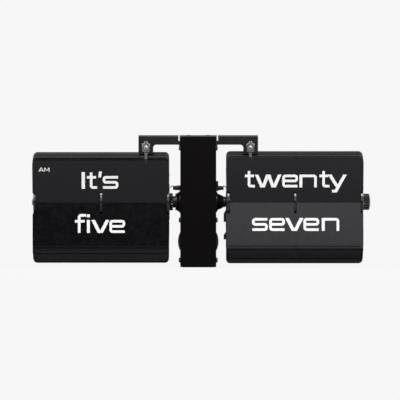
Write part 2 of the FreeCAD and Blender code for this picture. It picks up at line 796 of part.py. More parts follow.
def make_clicks():
    wall = "case_width / 2"
    for side, name in ((right, "minute"), (left, "hour")):
        near_face, far_face = ordered(at(side, wall), at(side, f"{wall} + click_base_out"))
        base_foot = f"drum_axis_height + {name}_boss_radius + side_gap"
        base = block(f"{name}_click_base",
                     (near_face, "0 - click_back - click_base_half_depth", base_foot),
                     (far_face, "click_base_half_depth - click_back", f"click_height + {name}_click_base_rise"))
        post = prism(f"{name}_click_pin", 16, "click_post_radius", ("0 - click_back", "click_height"),
                     (at(side, wall), at(side, "click_post_end")))
        keep(joined(f"{name}_click_post", base, post), f"{name}_click_post")
        keep(prism(f"{name}_click_wire", 6, "click_wire_radius",
                   ("0 - click_back", "click_height + click_wire_lift"),
                   (at(side, "click_post_end"), at(side, "drum_inner_end - side_gap"))), f"{name}_click_wire")


def make_flap_guide():
    body = new_body("flap_guide")
    near_side = "minute_boss_end"
    far_side = "(minute_boss_end + guide_sheet)"
    foot = "(0 - guide_drop)"
    pad(body, "guide_strip", "YZ", (near_side, far_side), [[
        ("0 - guide_half_width", foot), ("guide_half_width", foot),
        ("guide_half_width", "guide_half_width"), ("guide_half_width / 2", "guide_half_width + 2"),
        ("0 - guide_half_width / 2", "guide_half_width + 2"), ("0 - guide_half_width", "guide_half_width")]])
    out = "(minute_boss_end - guide_tab_out)"
    upper_high = "(0 - guide_upper_tab_top)"
    upper_low = "(0 - guide_upper_tab_foot)"
    lower_high = "(0 - guide_lower_tab_top)"
    for name, high, low in (("upper", upper_high, upper_low), ("lower", lower_high, foot)):
        pad(body, f"guide_tab_{name}", "XZ", ("0 - guide_half_width", "guide_sheet - guide_half_width"), [[
            (far_side, low), (far_side, high), (near_side, high),
            (out, f"{high} - 4.5"), (out, low)]])
    pocket(body, "guide_hole", "YZ", (f"{near_side} - 3", f"{far_side} + 1"), (),
           [("0", "0", "spindle_radius + side_gap")])
    keep(lifted(body))


# Gear train: minute pinion to cluster wheel, cluster pinion to hour wheel, motor pinion to cluster wheel

def add_teeth(body, name, teeth, root, tip, root_half, tip_half, span, bore=None, turn=0.0):
    """Toothed disc, patterned from one sector: a flank each side of a tooth and half of each
    gap, whose floor is a straight chord between neighbouring teeth."""
    chord = f"({root} * cos(180 / {teeth}) + {root_half} * sin(180 / {teeth}))"
    end_x, end_y = f"{chord} * cos(180 / {teeth})", f"{chord} * sin(180 / {teeth})"
    sector = pad(body, name + "_sector", "YZ", span, [[
        ("0", "0"), (end_x, f"-1 * {end_y}"), (root, f"-1 * {root_half}"), (tip, f"-1 * {tip_half}"),
        (tip, tip_half), (root, root_half), (end_x, end_y)]], (), turn)
    around(body, name + "_teeth", sector, teeth)
    if bore:
        low, high = ordered(*span)
        pocket(body, name + "_bore", "YZ", (f"{low} - 1", f"{high} + 1"), (), [("0", "0", bore)])


def add_gear(body, name, module, teeth, shape, span, bore=None, turn=0.0):
    pitch_radius = f"{module} * {teeth} / 2"
    add_teeth(body, name, teeth, f"({pitch_radius} - {shape['below']} * {module})",
              f"({pitch_radius} + {shape['above']} * {module})", f"({shape['root']} * pi * {module} / 2)",
              f"({shape['tip']} * pi * {module} / 2)", span, bore, turn)


def place_gear(body, place, turn):
    body.Placement = FreeCAD.Placement(FreeCAD.Vector(), FreeCAD.Rotation(FreeCAD.Vector(1, 0, 0), turn))
    bind(body, "Placement.Base.y", place[0])
    bind(body, "Placement.Base.z", place[1])
    return body


def make_gears():
    first_module = "(2 * gear_distance / (pinion_teeth + first_wheel_teeth))"
    second_module = "(2 * gear_distance / (pinion_teeth + hour_wheel_teeth))"
    lay = value("layshaft_angle")
    drive = value("motor_angle")
    half_pinion = 180 / value("pinion_teeth")
    half_wheel = 180 / value("first_wheel_teeth")
    half_hour = 180 / value("hour_wheel_teeth")
    bore = "spindle_radius + running_gap"
    drum_place = ("0", axis_z)
    wheel_span = ("first_wheel_place", "first_wheel_place + gear_width")
    pinion_span = ("first_wheel_place - 1", "first_wheel_place - 1 + pinion_width")
    hour_span = ("0 - hour_wheel_place", "gear_width - hour_wheel_place")
    small_span = ("0 - hour_wheel_place - 1", "pinion_width - hour_wheel_place - 1")

    minute_gear = new_body("minute_pinion")
    add_gear(minute_gear, "minute_pinion", first_module, "pinion_teeth", PINION_TOOTH, pinion_span, bore)
    keep(place_gear(minute_gear, drum_place, lay))

    cluster = new_body("cluster_gear")
    wheel_turn = lay + 180 + half_wheel
    small_turn = -half_wheel
    add_gear(cluster, "cluster_wheel", first_module, "first_wheel_teeth", WHEEL_TOOTH, wheel_span)
    pad(cluster, "cluster_hub", "YZ", (small_span[0], wheel_span[1]), (), [("0", "0", "cluster_hub_radius")])
    add_gear(cluster, "cluster_pinion", second_module, "pinion_teeth", PINION_TOOTH, small_span, None, small_turn)
    pocket(cluster, "cluster_bore", "YZ", (f"{small_span[0]} - 1", f"{wheel_span[1]} + 1"), (),
           [("0", "0", "axle_radius + running_gap")])
    keep(place_gear(cluster, layshaft_place(), wheel_turn))

    hour_gear = new_body("hour_wheel")
    add_gear(hour_gear, "hour_wheel", second_module, "hour_wheel_teeth", WHEEL_TOOTH, hour_span, bore)
    keep(place_gear(hour_gear, drum_place, lay + half_hour))

    offset = ((wheel_turn - drive + half_wheel) % (2 * half_wheel)) - half_wheel
    motor_turn = drive + 180 + half_pinion - offset * value("first_wheel_teeth") / value("pinion_teeth")
    motor_gear = new_body("motor_pinion")
    add_gear(motor_gear, "motor_pinion", first_module, "pinion_teeth", PINION_TOOTH, pinion_span)
    keep(place_gear(motor_gear, motor_place(), motor_turn))

    lay_y, lay_z = layshaft_place()
    keep(round_bar("layshaft_axle", "X", "axle_radius", (lay_y, lay_z), ("0 - axle_half", "axle_half")),
         "layshaft_axle")


def make_gear_plate():
    body = new_body("gear_plate")
    half = "gear_plate_sheet / 2"
    front = "(0 - gear_plate_front)"
    lay_y, lay_z = layshaft_place()
    pad(body, "gear_plate_sheet_form", "YZ", (f"-1 * {half}", half), [[
        (front, "gear_plate_low"), ("gear_plate_back", "gear_plate_low"),
        ("gear_plate_back", "gear_plate_step_high"), ("gear_plate_step", "gear_plate_step_high"),
        ("gear_plate_step", "gear_plate_high"), (front, "gear_plate_high")]], [
        ("0", axis_z, "spindle_radius + running_gap"), (lay_y, lay_z, "cluster_hub_radius + 1.5")])
    keep(body)


def make_motor():
    y, z = motor_place()
    keep(prism("motor", "round_sides", "motor_radius", (y, z),
               ("case_wall - case_width / 2", "first_wheel_place - 1 - side_gap")), "motor")


def make_board():
    near_face = "board_place"
    far_face = "board_place + board_sheet"
    board = block("board_sheet_form", (near_face, "board_front", "board_low"), (far_face, "board_back", "board_high"))
    chip = block("board_chip", ("board_place - 1.5", "board_front + 6", "board_low + 16"),
                 (near_face, "board_front + 12", "board_low + 24"))
    keep(joined("circuit_board", board, chip), "circuit_board")


# Power: the cell in its barrel, both contacts and a push-in cap with a coin slot

def make_power():
    centre = ("0", "barrel_height")
    contact_face = positive_contact_face()
    half = "contact_width / 2"
    keep(block("positive_contact", (f"0 - {half}", contact_face, f"barrel_height - {half}"),
               (half, f"{contact_face} + contact_sheet", f"barrel_height + {half}")), "positive_contact")
    cell_front = "(cell_rear - cell_length)"
    cell = prism("cell_can", "round_sides", "cell_radius", centre, (cell_front, "cell_rear"), "Y")
    nub = prism("cell_nub_form", 16, "cell_nub_radius", centre, (f"{cell_front} - cell_nub", cell_front), "Y")
    keep(joined("battery_cell", cell, nub), "battery_cell")
    plug_face = "(case_rear - cap_plug_depth)"
    contact = new_body("cap_contact")
    pad(contact, "cap_contact_leaf", "YZ", ("-3", "3"), [[
        ("cell_rear + side_gap", "barrel_height - 3"), ("cell_rear + side_gap + contact_sheet", "barrel_height - 3"),
        (plug_face, "barrel_height + 9"), (plug_face, "barrel_height + 12"),
        (f"{plug_face} - contact_sheet", "barrel_height + 12"), (f"{plug_face} - contact_sheet", "barrel_height + 9")]])
    keep(contact)
    rim_face = "(case_rear + cap_flange)"
    plug = prism("cap_plug", "round_sides", "cap_plug_radius", centre, (plug_face, "case_rear"), "Y")
    rim = prism("cap_rim", "round_sides", "cap_flange_radius", centre, ("case_rear", rim_face), "Y")
    slot = block("cap_slot", ("0 - cap_slot_length / 2", "case_rear", "barrel_height - cap_slot_width / 2"),
                 ("cap_slot_length / 2", f"{rim_face} + 1", "barrel_height + cap_slot_width / 2"))
    keep(less("battery_cap", joined("cap_form", plug, rim), slot), "battery_cap")


# Flaps: thin sheets with a notch for each disc. Each hangs by its pin line from the three discs.

def make_flap(name, side, reach, lip):
    body = new_body(name)
    inner, outer = "drum_inner_end", "drum_inner_end + flap_width"
    middle = "(drum_inner_end + flap_width / 2)"
    end_cut = "(disc_width + side_gap)"
    half_cut = "(disc_width / 2 + side_gap)"
    foot = f"(0 - {lip})"
    notch = f"(flap_notch_depth - {lip})"
    corner = "flap_chamfer"
    corners = [
        (f"{inner} + {end_cut}", foot), (f"{middle} - {half_cut}", foot), (f"{middle} - {half_cut}", notch),
        (f"{middle} + {half_cut}", notch), (f"{middle} + {half_cut}", foot), (f"{outer} - {end_cut}", foot),
        (f"{outer} - {end_cut}", notch), (outer, notch), (outer, f"({reach} - {corner})"),
        (f"({outer} - {corner})", reach), (f"({inner} + {corner})", reach), (inner, f"({reach} - {corner})"),
        (inner, notch), (f"{inner} + {end_cut}", notch)]
    if side == left:
        corners = [(at(side, corner[0]),) + corner[1:] for corner in reversed(corners)]
    pad(body, name + "_sheet", "XZ", ("0 - flap_sheet / 2", "flap_sheet / 2"), [corners])
    return body


def flap_angle(pin_angle, front):
    """Direction of a flap: it hangs straight down unless the pile makes it lie on its neighbour. Behind
    the front flap the pile settles forward a little, so it stands higher than one turned all round."""
    lie = value("flap_lie_angle")
    settle = value("flap_settle_angle") * min(max((pin_angle - front) / value("flap_settle_span"), 0.0), 1.0)
    return max(min(pin_angle + lie - settle, 270.0), pin_angle - lie)


def flap_placement(pin_angle, front):
    """Placement of a flap whose pin stands at an angle up from the front of the drum."""
    radius = value("flap_pin_radius")
    turn = math.radians(pin_angle)
    pin = FreeCAD.Vector(0, -radius * math.cos(turn), value(axis_z) + radius * math.sin(turn))
    return FreeCAD.Placement(pin, FreeCAD.Rotation(FreeCAD.Vector(1, 0, 0), 90 - flap_angle(pin_angle, front)))


def make_flaps(name, side, reach, lip):
    front = value(f"{name}_front_angle")
    count = int(value(f"{name}_flap_count"))
    flap = make_flap(f"{name}_flap", side, reach, lip)
    doc.recompute()
    sheet_form = flap.Tip.Shape.copy()
    flap.Placement = flap_placement(front, front)
    keep(flap)
    angles = [front + 360.0 * number / count for number in range(1, count)]
    hanging = 270.0 - value("flap_lie_angle")
    groups = {
        "upper": [angle for angle in angles if angle <= hanging / 2],
        "rear": [angle for angle in angles if hanging / 2 < angle <= hanging],
        "hanging": [angle for angle in angles[:-1] if angle > hanging],
        "front_lower": angles[-1:]}
    for group, members in groups.items():
        pile = doc.addObject("Part::Feature", f"{name}_flaps_{group}")
        shapes = []
        for angle in members:
            shape = sheet_form.copy()
            shape.Placement = flap_placement(angle, front).multiply(shape.Placement)
            shapes.append(shape)
        pile.Shape = Part.makeCompound(shapes) if len(shapes) > 1 else shapes[0]
        keep(pile, f"{name}_flap_lower" if group == "front_lower" else f"{name}_flaps_{group}")


keep(make_column_cover())
keep(make_top_bracket())
keep(make_case_half(left, "case_left"))
keep(make_case_half(right, "case_right"))
make_base_pad()
make_hanger()
make_claws()
make_bearings()
make_drums()
make_clicks()
make_flap_guide()
make_gears()
make_gear_plate()
make_motor()
make_board()
make_power()
make_flaps("minute", right, "minute_flap_reach", "minute_flap_lip")
make_flaps("hour", left, "hour_flap_reach", "hour_flap_lip")
doc.recompute()

faults = [f"{item.Name}: {item.State}" for item in doc.Objects
          if "Invalid" in item.State or "Error" in item.State]
for piece in parts:
    if piece.Shape.isNull() or not piece.Shape.isValid():
        faults.append(f"{piece.Label}: shape")
if faults:
    raise RuntimeError("; ".join(faults))

os.makedirs("parts", exist_ok=True)
for piece in parts:
    piece.Shape.exportStep(f"parts/{piece.Label}.step")
    print(piece.Label, len(piece.Shape.Solids), round(piece.Shape.Volume, 1))
print(len(parts), "nodes")
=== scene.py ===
"""Looks of the flip clock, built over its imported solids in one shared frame.

Sizes in the classes are millimetres and become metres when a mesh is made. X runs to the viewer's right,
Y away from the viewer and Z up. The hour drum is on the left and the minute drum on the right.
"""

import logging
import math
from collections.abc import Callable
from dataclasses import dataclass
from enum import Enum

import bpy
import numpy as np
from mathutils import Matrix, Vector


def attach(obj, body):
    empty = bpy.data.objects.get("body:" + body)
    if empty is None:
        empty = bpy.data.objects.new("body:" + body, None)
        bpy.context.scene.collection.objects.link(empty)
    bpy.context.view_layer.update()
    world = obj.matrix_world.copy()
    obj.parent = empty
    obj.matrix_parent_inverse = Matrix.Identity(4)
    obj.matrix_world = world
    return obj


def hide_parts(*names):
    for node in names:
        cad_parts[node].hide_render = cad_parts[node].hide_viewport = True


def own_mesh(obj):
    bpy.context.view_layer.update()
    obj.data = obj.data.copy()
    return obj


LOG = logging.getLogger("flip_clock")
METRE = 0.001
DOWN = 270.0  # direction of a leaf that hangs straight down, in degrees
AXIS_HEIGHT = 69.3
HINGE_RADIUS = 18.4
CASE_SIDE = 17.5
Link = Callable[..., bpy.types.NodeLink]

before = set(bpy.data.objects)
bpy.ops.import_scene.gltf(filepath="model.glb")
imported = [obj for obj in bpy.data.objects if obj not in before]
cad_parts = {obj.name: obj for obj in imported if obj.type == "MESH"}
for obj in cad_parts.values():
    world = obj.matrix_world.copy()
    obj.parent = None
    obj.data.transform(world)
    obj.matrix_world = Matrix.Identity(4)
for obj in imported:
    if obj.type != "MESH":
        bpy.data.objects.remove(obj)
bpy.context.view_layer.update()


# Surfaces


@dataclass
class Shell:
    """A closed surface: points in millimetres and the corners of its faces, in blocks of equal size."""

    points: np.ndarray
    faces: list[np.ndarray]

    def volume(self) -> float:
        """Signed volume, as the sum of the tetrahedra from the origin to a fan on each face.

        Returns:
            Cubic millimetres, negative where the faces point inwards.
        """
        total = 0.0
        for block in self.faces:
            first = self.points[block[:, 0]]
            for corner in range(1, block.shape[1] - 1):
                second, third = self.points[block[:, corner]], self.points[block[:, corner + 1]]
                total += float(np.einsum("ij,ij->", first, np.cross(second, third))) / 6
        return total

    def outward(self) -> "Shell":
        """The same surface with every face pointing out."""
        way = -1 if self.volume() < 0 else 1
        return Shell(self.points, [block[:, ::way] for block in self.faces])

    def turned(self, matrix: np.ndarray, place: np.ndarray) -> "Shell":
        """The surface after a turn about the origin, by a 3 x 3 matrix, and a move of the origin to a place."""
        return Shell(self.points @ matrix.T + place, self.faces)


def joined(shells: list[Shell]) -> Shell:
    """Several surfaces as one, each still closed.

    Args:
        shells: The surfaces.

    Returns:
        One surface with all their points and faces.
    """
    starts = np.cumsum([0] + [len(shell.points) for shell in shells[:-1]])
    faces = [block + start for shell, start in zip(shells, starts) for block in shell.faces]
    return Shell(np.concatenate([shell.points for shell in shells]), faces)


def tube_faces(near: np.ndarray, far: np.ndarray) -> np.ndarray:
    """Corners of the four-sided faces between rings of point numbers and the rings next to them."""
    return np.stack([near, far, np.roll(far, -1, axis=1), np.roll(near, -1, axis=1)], axis=-1).reshape(-1, 4)


def loft(rings: np.ndarray, endless: bool = False) -> Shell:
    """Tube through rings of points.

    Point (i, j) joins (i, j + 1) round its ring and (i + 1, j) along the tube. Flat faces close both ends
    unless the last ring joins the first.

    Args:
        rings: Array of rings x points x 3.
        endless: Whether the tube closes on itself.

    Returns:
        The closed surface.
    """
    count, around = rings.shape[:2]
    index = np.arange(count * around).reshape(count, around)
    here = np.arange(count if endless else count - 1)
    faces = [tube_faces(index[here], index[(here + 1) % count])]
    if not endless:
        faces += [index[0][None, :], index[-1][None, ::-1]]
    return Shell(rings.reshape(-1, 3), faces).outward()


def about(axis: str, along: np.ndarray, first: np.ndarray, second: np.ndarray,
          centre: tuple[float, float, float]) -> np.ndarray:
    """Points whose places along an axis and along the first and second of the others count from a centre."""
    order = {"X": (along, first, second), "Y": (first, along, second), "Z": (first, second, along)}[axis]
    return np.stack(order, axis=-1) + np.array(centre)


def headings(path: np.ndarray) -> np.ndarray:
    """Direction of a path at each of its points, of length one."""
    ahead = np.gradient(path, axis=0)
    return ahead / np.linalg.norm(ahead, axis=1, keepdims=True)


def turned_profile(profile: list[tuple[float, float]], centre: tuple[float, float, float], axis: str,
                   segments: int, endless: bool = False, way: int = 1,
                   ribs: tuple[int, float, float] = (0, 0.0, 0.0)) -> Shell:
    """Profile turned about an axis.

    A point at place s along the axis, radius r and angle t lies at centre + s * axis + r * (cos t, sin t).
    With ribs, r loses depth * (1 - cos(count * t)) / 2 where r is larger than the rib root.

    Args:
        profile: Place along the axis and radius of each point.
        centre: Point that places are measured from.
        axis: "X", "Y" or "Z".
        segments: Steps round the axis.
        endless: Whether the last profile point joins the first, as on a piece with a bore.
        way: 1 or -1, the sense in which places are counted.
        ribs: Number of ribs, their depth and the radius where they begin.

    Returns:
        The closed surface.
    """
    turn = np.linspace(0, 2 * np.pi, segments, endpoint=False)
    along, radius = np.hsplit(np.array(profile) * np.array([way, 1]), 2)
    count, depth, root = ribs
    radius = radius - (radius > root) * depth * (1 - np.cos(count * turn)) / 2 if count else radius + 0 * turn
    return loft(about(axis, along + 0 * turn, radius * np.cos(turn), radius * np.sin(turn), centre), endless)


def rounded_path(corners: tuple[tuple[float, float], ...], radius: float, steps: int = 5) -> np.ndarray:
    """Path through corners, each rounded by an arc.

    An arc is the rational curve ((1-s)^2 A + 2 s (1-s) w P + s^2 B) / ((1-s)^2 + 2 s (1-s) w + s^2) with P
    the corner, A and B the ends of the arc and w the cosine of half the turn.

    Args:
        corners: Points of the path.
        radius: Radius of each arc; 0 keeps the corners.
        steps: Pieces of one arc.

    Returns:
        Rows of points.
    """
    points = np.array(corners, float)
    if radius <= 0 or len(points) < 3:
        return points
    share = np.linspace(0, 1, steps + 1)[:, None]
    rows = [points[:1]]
    for before, corner, after in zip(points[:-2], points[1:-1], points[2:]):
        arrive = (corner - before) / np.linalg.norm(corner - before)
        leave = (after - corner) / np.linalg.norm(after - corner)
        half = math.acos(float(np.clip(arrive @ leave, -1, 1))) / 2
        reach = radius * math.tan(half)
        start, stop, weight = corner - arrive * reach, corner + leave * reach, math.cos(half)
        low, mid, high = (1 - share) ** 2, 2 * share * (1 - share) * weight, share ** 2
        rows.append((low * start + mid * corner + high * stop) / (low + mid + high))
    rows.append(points[-1:])
    return np.concatenate(rows)


def along_path(path: np.ndarray, section: np.ndarray, across: np.ndarray) -> Shell:
    """Section carried along a path in space.

    Section point (a, b) lies at path + a * across + b * (tangent x across).

    Args:
        path: Rows of points in space.
        section: Closed outline as rows of (a, b).
        across: Direction of a, the same all along.

    Returns:
        The closed surface.
    """
    up = np.cross(headings(path), across)
    up /= np.linalg.norm(up, axis=1, keepdims=True)
    rings = path[:, None, :] + section[None, :, :1] * across + section[None, :, 1:] * up[:, None, :]
    return loft(rings)


def round_section(radius: float, sides: int = 12) -> np.ndarray:
    """Circle of points as a section."""
    turn = np.linspace(0, 2 * np.pi, sides, endpoint=False)
    return radius * np.stack([np.cos(turn), np.sin(turn)], axis=-1)


# Finishes


DRIFT_SIZE, DRIFT_DETAIL, DRIFT_START, DRIFT_END = 14.0, 3.0, 0.35, 0.75
RUB_SIZE, RUB_DETAIL, RUB_LOW, RUB_HIGH = 5.0, 5.0, 0.3, 0.7
BRUSH_STRETCH, BRUSH_DETAIL, SPARK_DETAIL = 0.04, 2.0, 3.0
COAT_ROUGHNESS = 0.12


def preset(node: bpy.types.ShaderNode, **values: float | tuple[float, ...]) -> bpy.types.ShaderNode:
    """Put values on the sockets of a shader node.

    Args:
        node: The node.
        values: Value of each named socket, with an underscore for each space in the name.

    Returns:
        The same node.
    """
    for name, value in values.items():
        node.inputs[name.replace("_", " ")].default_value = value
    return node


def added(nodes: bpy.types.Nodes, kind: str, **values: float | tuple[float, ...]) -> bpy.types.ShaderNode:
    """New shader node of a kind, named without its prefix, with values on its sockets."""
    return preset(nodes.new("ShaderNode" + kind), **values)


def new_material(name: str) -> tuple[bpy.types.Material, bpy.types.Nodes, Link]:
    """New material that is made of nodes.

    Args:
        name: Its name.

    Returns:
        The material, its nodes and the function that joins two sockets.
    """
    made = bpy.data.materials.new(name)
    made.use_nodes = True
    return made, made.node_tree.nodes, made.node_tree.links.new


class Grain(Enum):
    """Kind of fine texture that a finish has."""

    PEEL = "fine rounded grain of a powder coat"
    SPARK = "matt spark-eroded grain of a moulding"
    BRUSHED = "fine lines along one direction"
    SMOOTH = "smooth sheet with faint waves"


@dataclass(frozen=True)
class Finish:
    """One surface finish on Object coordinates.

    colour and dusty are the two ends of the slow colour change, grain is the size of the texture and relief
    its height, both in millimetres, and gloss_spread is how far the roughness changes over the surface.
    """

    name: str
    colour: tuple[float, float, float]
    dusty: tuple[float, float, float]
    roughness: float
    gloss_spread: float
    specular: float = 0.5
    tint: tuple[float, float, float] = (1.0, 1.0, 1.0)
    metallic: float = 0.0
    texture: Grain = Grain.SPARK
    grain: float = 0.25
    relief: float = 0.01
    coat: float = 0.0

    def material(self) -> bpy.types.Material:
        """The finish as a material, made once.

        Returns:
            The material, with a slow change of colour, patches of other gloss and the fine texture as a bump.
        """
        known = bpy.data.materials.get(self.name)
        if known:
            return known
        made, nodes, link = new_material(self.name)
        made.diffuse_color = (*self.colour, 1)
        shader = preset(nodes["Principled BSDF"], Metallic=self.metallic, Specular_IOR_Level=self.specular,
                        Specular_Tint=(*self.tint, 1), Coat_Weight=self.coat, Coat_Roughness=COAT_ROUGHNESS)
        places = added(nodes, "TexCoord").outputs["Object"]

        ramp = added(nodes, "ValToRGB")
        ends = ((DRIFT_START, self.colour), (DRIFT_END, self.dusty))
        for element, (position, colour) in zip(ramp.color_ramp.elements, ends):
            element.position = position
            element.color = (*colour, 1)
        link(self.noise(nodes, link, places, DRIFT_SIZE, DRIFT_DETAIL), ramp.inputs["Fac"])
        link(ramp.outputs["Color"], shader.inputs["Base Color"])

        change = added(nodes, "MapRange", From_Min=RUB_LOW, From_Max=RUB_HIGH,
                       To_Min=self.roughness - self.gloss_spread, To_Max=self.roughness + self.gloss_spread)
        link(self.noise(nodes, link, places, RUB_SIZE, RUB_DETAIL), change.inputs["Value"])
        link(change.outputs["Result"], shader.inputs["Roughness"])

        bump = added(nodes, "Bump", Strength=1.0, Distance=self.relief * METRE)
        link(self.height(nodes, link, places), bump.inputs["Height"])
        link(bump.outputs["Normal"], shader.inputs["Normal"])
        return made

    def noise(self, nodes: bpy.types.Nodes, link: Link, places: bpy.types.NodeSocket, size: float,
              detail: float) -> bpy.types.NodeSocket:
        """Noise over the surface.

        Args:
            nodes: Nodes of the material.
            link: Function that joins two sockets.
            places: Where the noise is read.
            size: Size of its patches in millimetres.
            detail: How many finer layers it has.

        Returns:
            Socket that gives the noise.
        """
        noise = added(nodes, "TexNoise", Scale=1 / (size * METRE), Detail=detail)
        link(places, noise.inputs["Vector"])
        return noise.outputs["Fac"]

    def height(self, nodes: bpy.types.Nodes, link: Link,
               places: bpy.types.NodeSocket) -> bpy.types.NodeSocket:
        """Height of the fine texture.

        Args:
            nodes: Nodes of the material.
            link: Function that joins two sockets.
            places: Where the texture is read.

        Returns:
            Socket that gives the height.
        """
        if self.texture is Grain.BRUSHED:
            stretch = added(nodes, "Mapping", Scale=(1.0, 1.0, BRUSH_STRETCH))
            link(places, stretch.inputs["Vector"])
            return self.noise(nodes, link, stretch.outputs["Vector"], self.grain, BRUSH_DETAIL)
        if self.texture is Grain.PEEL:
            cells = added(nodes, "TexVoronoi")
            cells.feature = "SMOOTH_F1"
            preset(cells, Scale=1 / (self.grain * METRE))
            link(places, cells.inputs["Vector"])
            return cells.outputs["Distance"]
        detail = SPARK_DETAIL if self.texture is Grain.SPARK else 0.0
        return self.noise(nodes, link, places, self.grain, detail)


COLUMN_COAT = Finish("column_powder_coat", (0.0011, 0.0004, 0.0007), (0.0020, 0.0008, 0.0012), 0.40, 0.05,
                     specular=0.07, texture=Grain.PEEL, grain=0.35, relief=0.010)
ARM_COAT = Finish("bracket_powder_coat", (0.0040, 0.0033, 0.0040), (0.0056, 0.0048, 0.0056), 0.36, 0.05,
                  specular=0.25, texture=Grain.PEEL, grain=0.35, relief=0.008)
LEAF_SHEET = Finish("leaf_black_sheet", (0.0022, 0.0021, 0.0032), (0.0032, 0.0030, 0.0042), 0.16, 0.03,
                    specular=0.39, tint=(0.95, 0.92, 1.0), texture=Grain.SMOOTH, grain=1.6, relief=0.003)
WORD_PRINT = Finish("word_white_print", (0.95, 0.95, 0.95), (0.91, 0.91, 0.91), 0.45, 0.05,
                    specular=0.4, grain=0.12, relief=0.004)
DISC_MOULDING = Finish("disc_black_moulding", (0.0020, 0.0020, 0.0024), (0.0034, 0.0034, 0.0038), 0.20, 0.03,
                       specular=0.5, texture=Grain.SMOOTH, grain=0.8, relief=0.002, coat=0.35)
KNOB_MOULDING = Finish("knob_black_moulding", (0.0035, 0.0035, 0.0040), (0.0065, 0.0065, 0.0070), 0.20, 0.04,
                       specular=0.5, grain=0.12, relief=0.005)
BOSS_MOULDING = Finish("boss_black_moulding", (0.0030, 0.0028, 0.0032), (0.0055, 0.0052, 0.0058), 0.36, 0.06,
                       specular=0.30, grain=0.18, relief=0.010)
CASE_MOULDING = Finish("case_black_moulding", (0.0055, 0.0050, 0.0056), (0.0085, 0.0080, 0.0086), 0.44, 0.07,
                       specular=0.35, grain=0.18, relief=0.012)
FOOT_RUBBER = Finish("foot_rubber", (0.012, 0.012, 0.012), (0.020, 0.020, 0.020), 0.72, 0.08,
                     specular=0.3, grain=0.3, relief=0.02)
CLAW_STEEL = Finish("claw_bright_steel", (0.24, 0.235, 0.235), (0.18, 0.175, 0.175), 0.30, 0.07,
                    metallic=1.0, texture=Grain.BRUSHED, grain=0.12, relief=0.004)
# Same spring steel as the claw plate, with its colour darkened to paint the shade of the finger's face, which
# looks forward and down.
FINGER_PAINTED_SHADE_STEEL = Finish("finger_dark_spring_steel", (0.022, 0.021, 0.022), (0.034, 0.033, 0.034), 0.40, 0.06,
                      metallic=0.8, texture=Grain.BRUSHED, grain=0.15, relief=0.003)
SCREW_ZINC = Finish("screw_bright_zinc", (0.48, 0.47, 0.46), (0.36, 0.35, 0.34), 0.24, 0.08,
                    metallic=1.0, grain=0.2, relief=0.004)
SCREW_BLACK = Finish("screw_black_oxide", (0.010, 0.0095, 0.010), (0.018, 0.017, 0.018), 0.34, 0.08,
                     specular=0.45, grain=0.15, relief=0.005)
HANGER_ZINC = Finish("hanger_zinc_plate", (0.62, 0.62, 0.60), (0.48, 0.48, 0.46), 0.34, 0.10,
                     metallic=1.0, texture=Grain.BRUSHED, grain=0.25, relief=0.006)
SPINDLE_STEEL = Finish("spindle_bright_steel", (0.68, 0.68, 0.68), (0.55, 0.55, 0.55), 0.24, 0.06,
                       metallic=1.0, texture=Grain.SMOOTH, grain=0.5, relief=0.002)
GUIDE_STEEL = Finish("guide_black_steel", (0.0050, 0.0046, 0.0052), (0.0085, 0.0080, 0.0088), 0.40, 0.07,
                     specular=0.30, texture=Grain.PEEL, grain=0.3, relief=0.008)
GEAR_ACETAL = Finish("gear_natural_acetal", (0.80, 0.78, 0.72), (0.72, 0.70, 0.64), 0.38, 0.06,
                     specular=0.45, texture=Grain.SMOOTH, grain=0.6, relief=0.004)
BOARD_LACQUER = Finish("board_green_lacquer", (0.015, 0.11, 0.045), (0.02, 0.15, 0.06), 0.30, 0.08,
                       specular=0.5, grain=0.9, relief=0.02)
MOTOR_CAN = Finish("motor_drawn_can", (0.55, 0.55, 0.54), (0.44, 0.44, 0.43), 0.32, 0.06,
                   metallic=1.0, texture=Grain.BRUSHED, grain=0.2, relief=0.004)
CELL_JACKET = Finish("cell_plain_jacket", (0.11, 0.11, 0.12), (0.14, 0.14, 0.15), 0.36, 0.04,
                     metallic=0.2, texture=Grain.SMOOTH, grain=3.0, relief=0.002)


# Pieces


def placed_in_scene(data: bpy.types.ID, name: str) -> bpy.types.Object:
    """Link a new object to the scene.

    Args:
        data: The mesh, lamp or camera that it shows.
        name: Its name.

    Returns:
        The object, at the origin.
    """
    thing = bpy.data.objects.new(name, data)
    bpy.context.scene.collection.objects.link(thing)
    return thing


def shown(name: str, shell: Shell, finish: Finish, body: str, stands_for: tuple[str, ...] = (),
          crease: float = 32.0) -> bpy.types.Object:
    """Turn a surface into a piece of the clock.

    Args:
        name: Name of the piece.
        shell: Its surface, in millimetres in the shared frame.
        finish: What it is finished in.
        body: Body that it moves with.
        stands_for: Solids that it is shown instead of.
        crease: Angle in degrees from which an edge stays sharp.

    Returns:
        The new object, at the origin.
    """
    mesh = bpy.data.meshes.new(name)
    faces = [face for block in shell.faces for face in block.tolist()]
    mesh.from_pydata((shell.points * METRE).tolist(), [], faces)
    mesh.update()
    mesh.shade_smooth()
    mesh.set_sharp_from_angle(angle=math.radians(crease))
    mesh.materials.append(finish.material())
    piece = placed_in_scene(mesh, name)
    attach(piece, body)
    if stands_for:
        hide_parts(*stands_for)
    LOG.info("%s: %d faces on %s", name, len(mesh.polygons), body)
    return piece


def dressed(finish: Finish, *nodes: str) -> None:
    """Give solids that are shown as they are their finish.

    Args:
        finish: The finish.
        nodes: Names of the solids.
    """
    for name in nodes:
        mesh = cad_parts[name].data
        mesh.materials.clear()
        mesh.materials.append(finish.material())


class Side(Enum):
    """Side of a drum; the value is the sign of its places along X."""

    HOUR = -1
    MINUTE = 1

    @property
    def word(self) -> str:
        """Name of the side, as the solids use it."""
        return self.name.lower()


def turn_about_x(degrees: float) -> np.ndarray:
    """Matrix of a turn about X."""
    cosine, sine = math.cos(math.radians(degrees)), math.sin(math.radians(degrees))
    return np.array([[1, 0, 0], [0, cosine, -sine], [0, sine, cosine]])


# Words


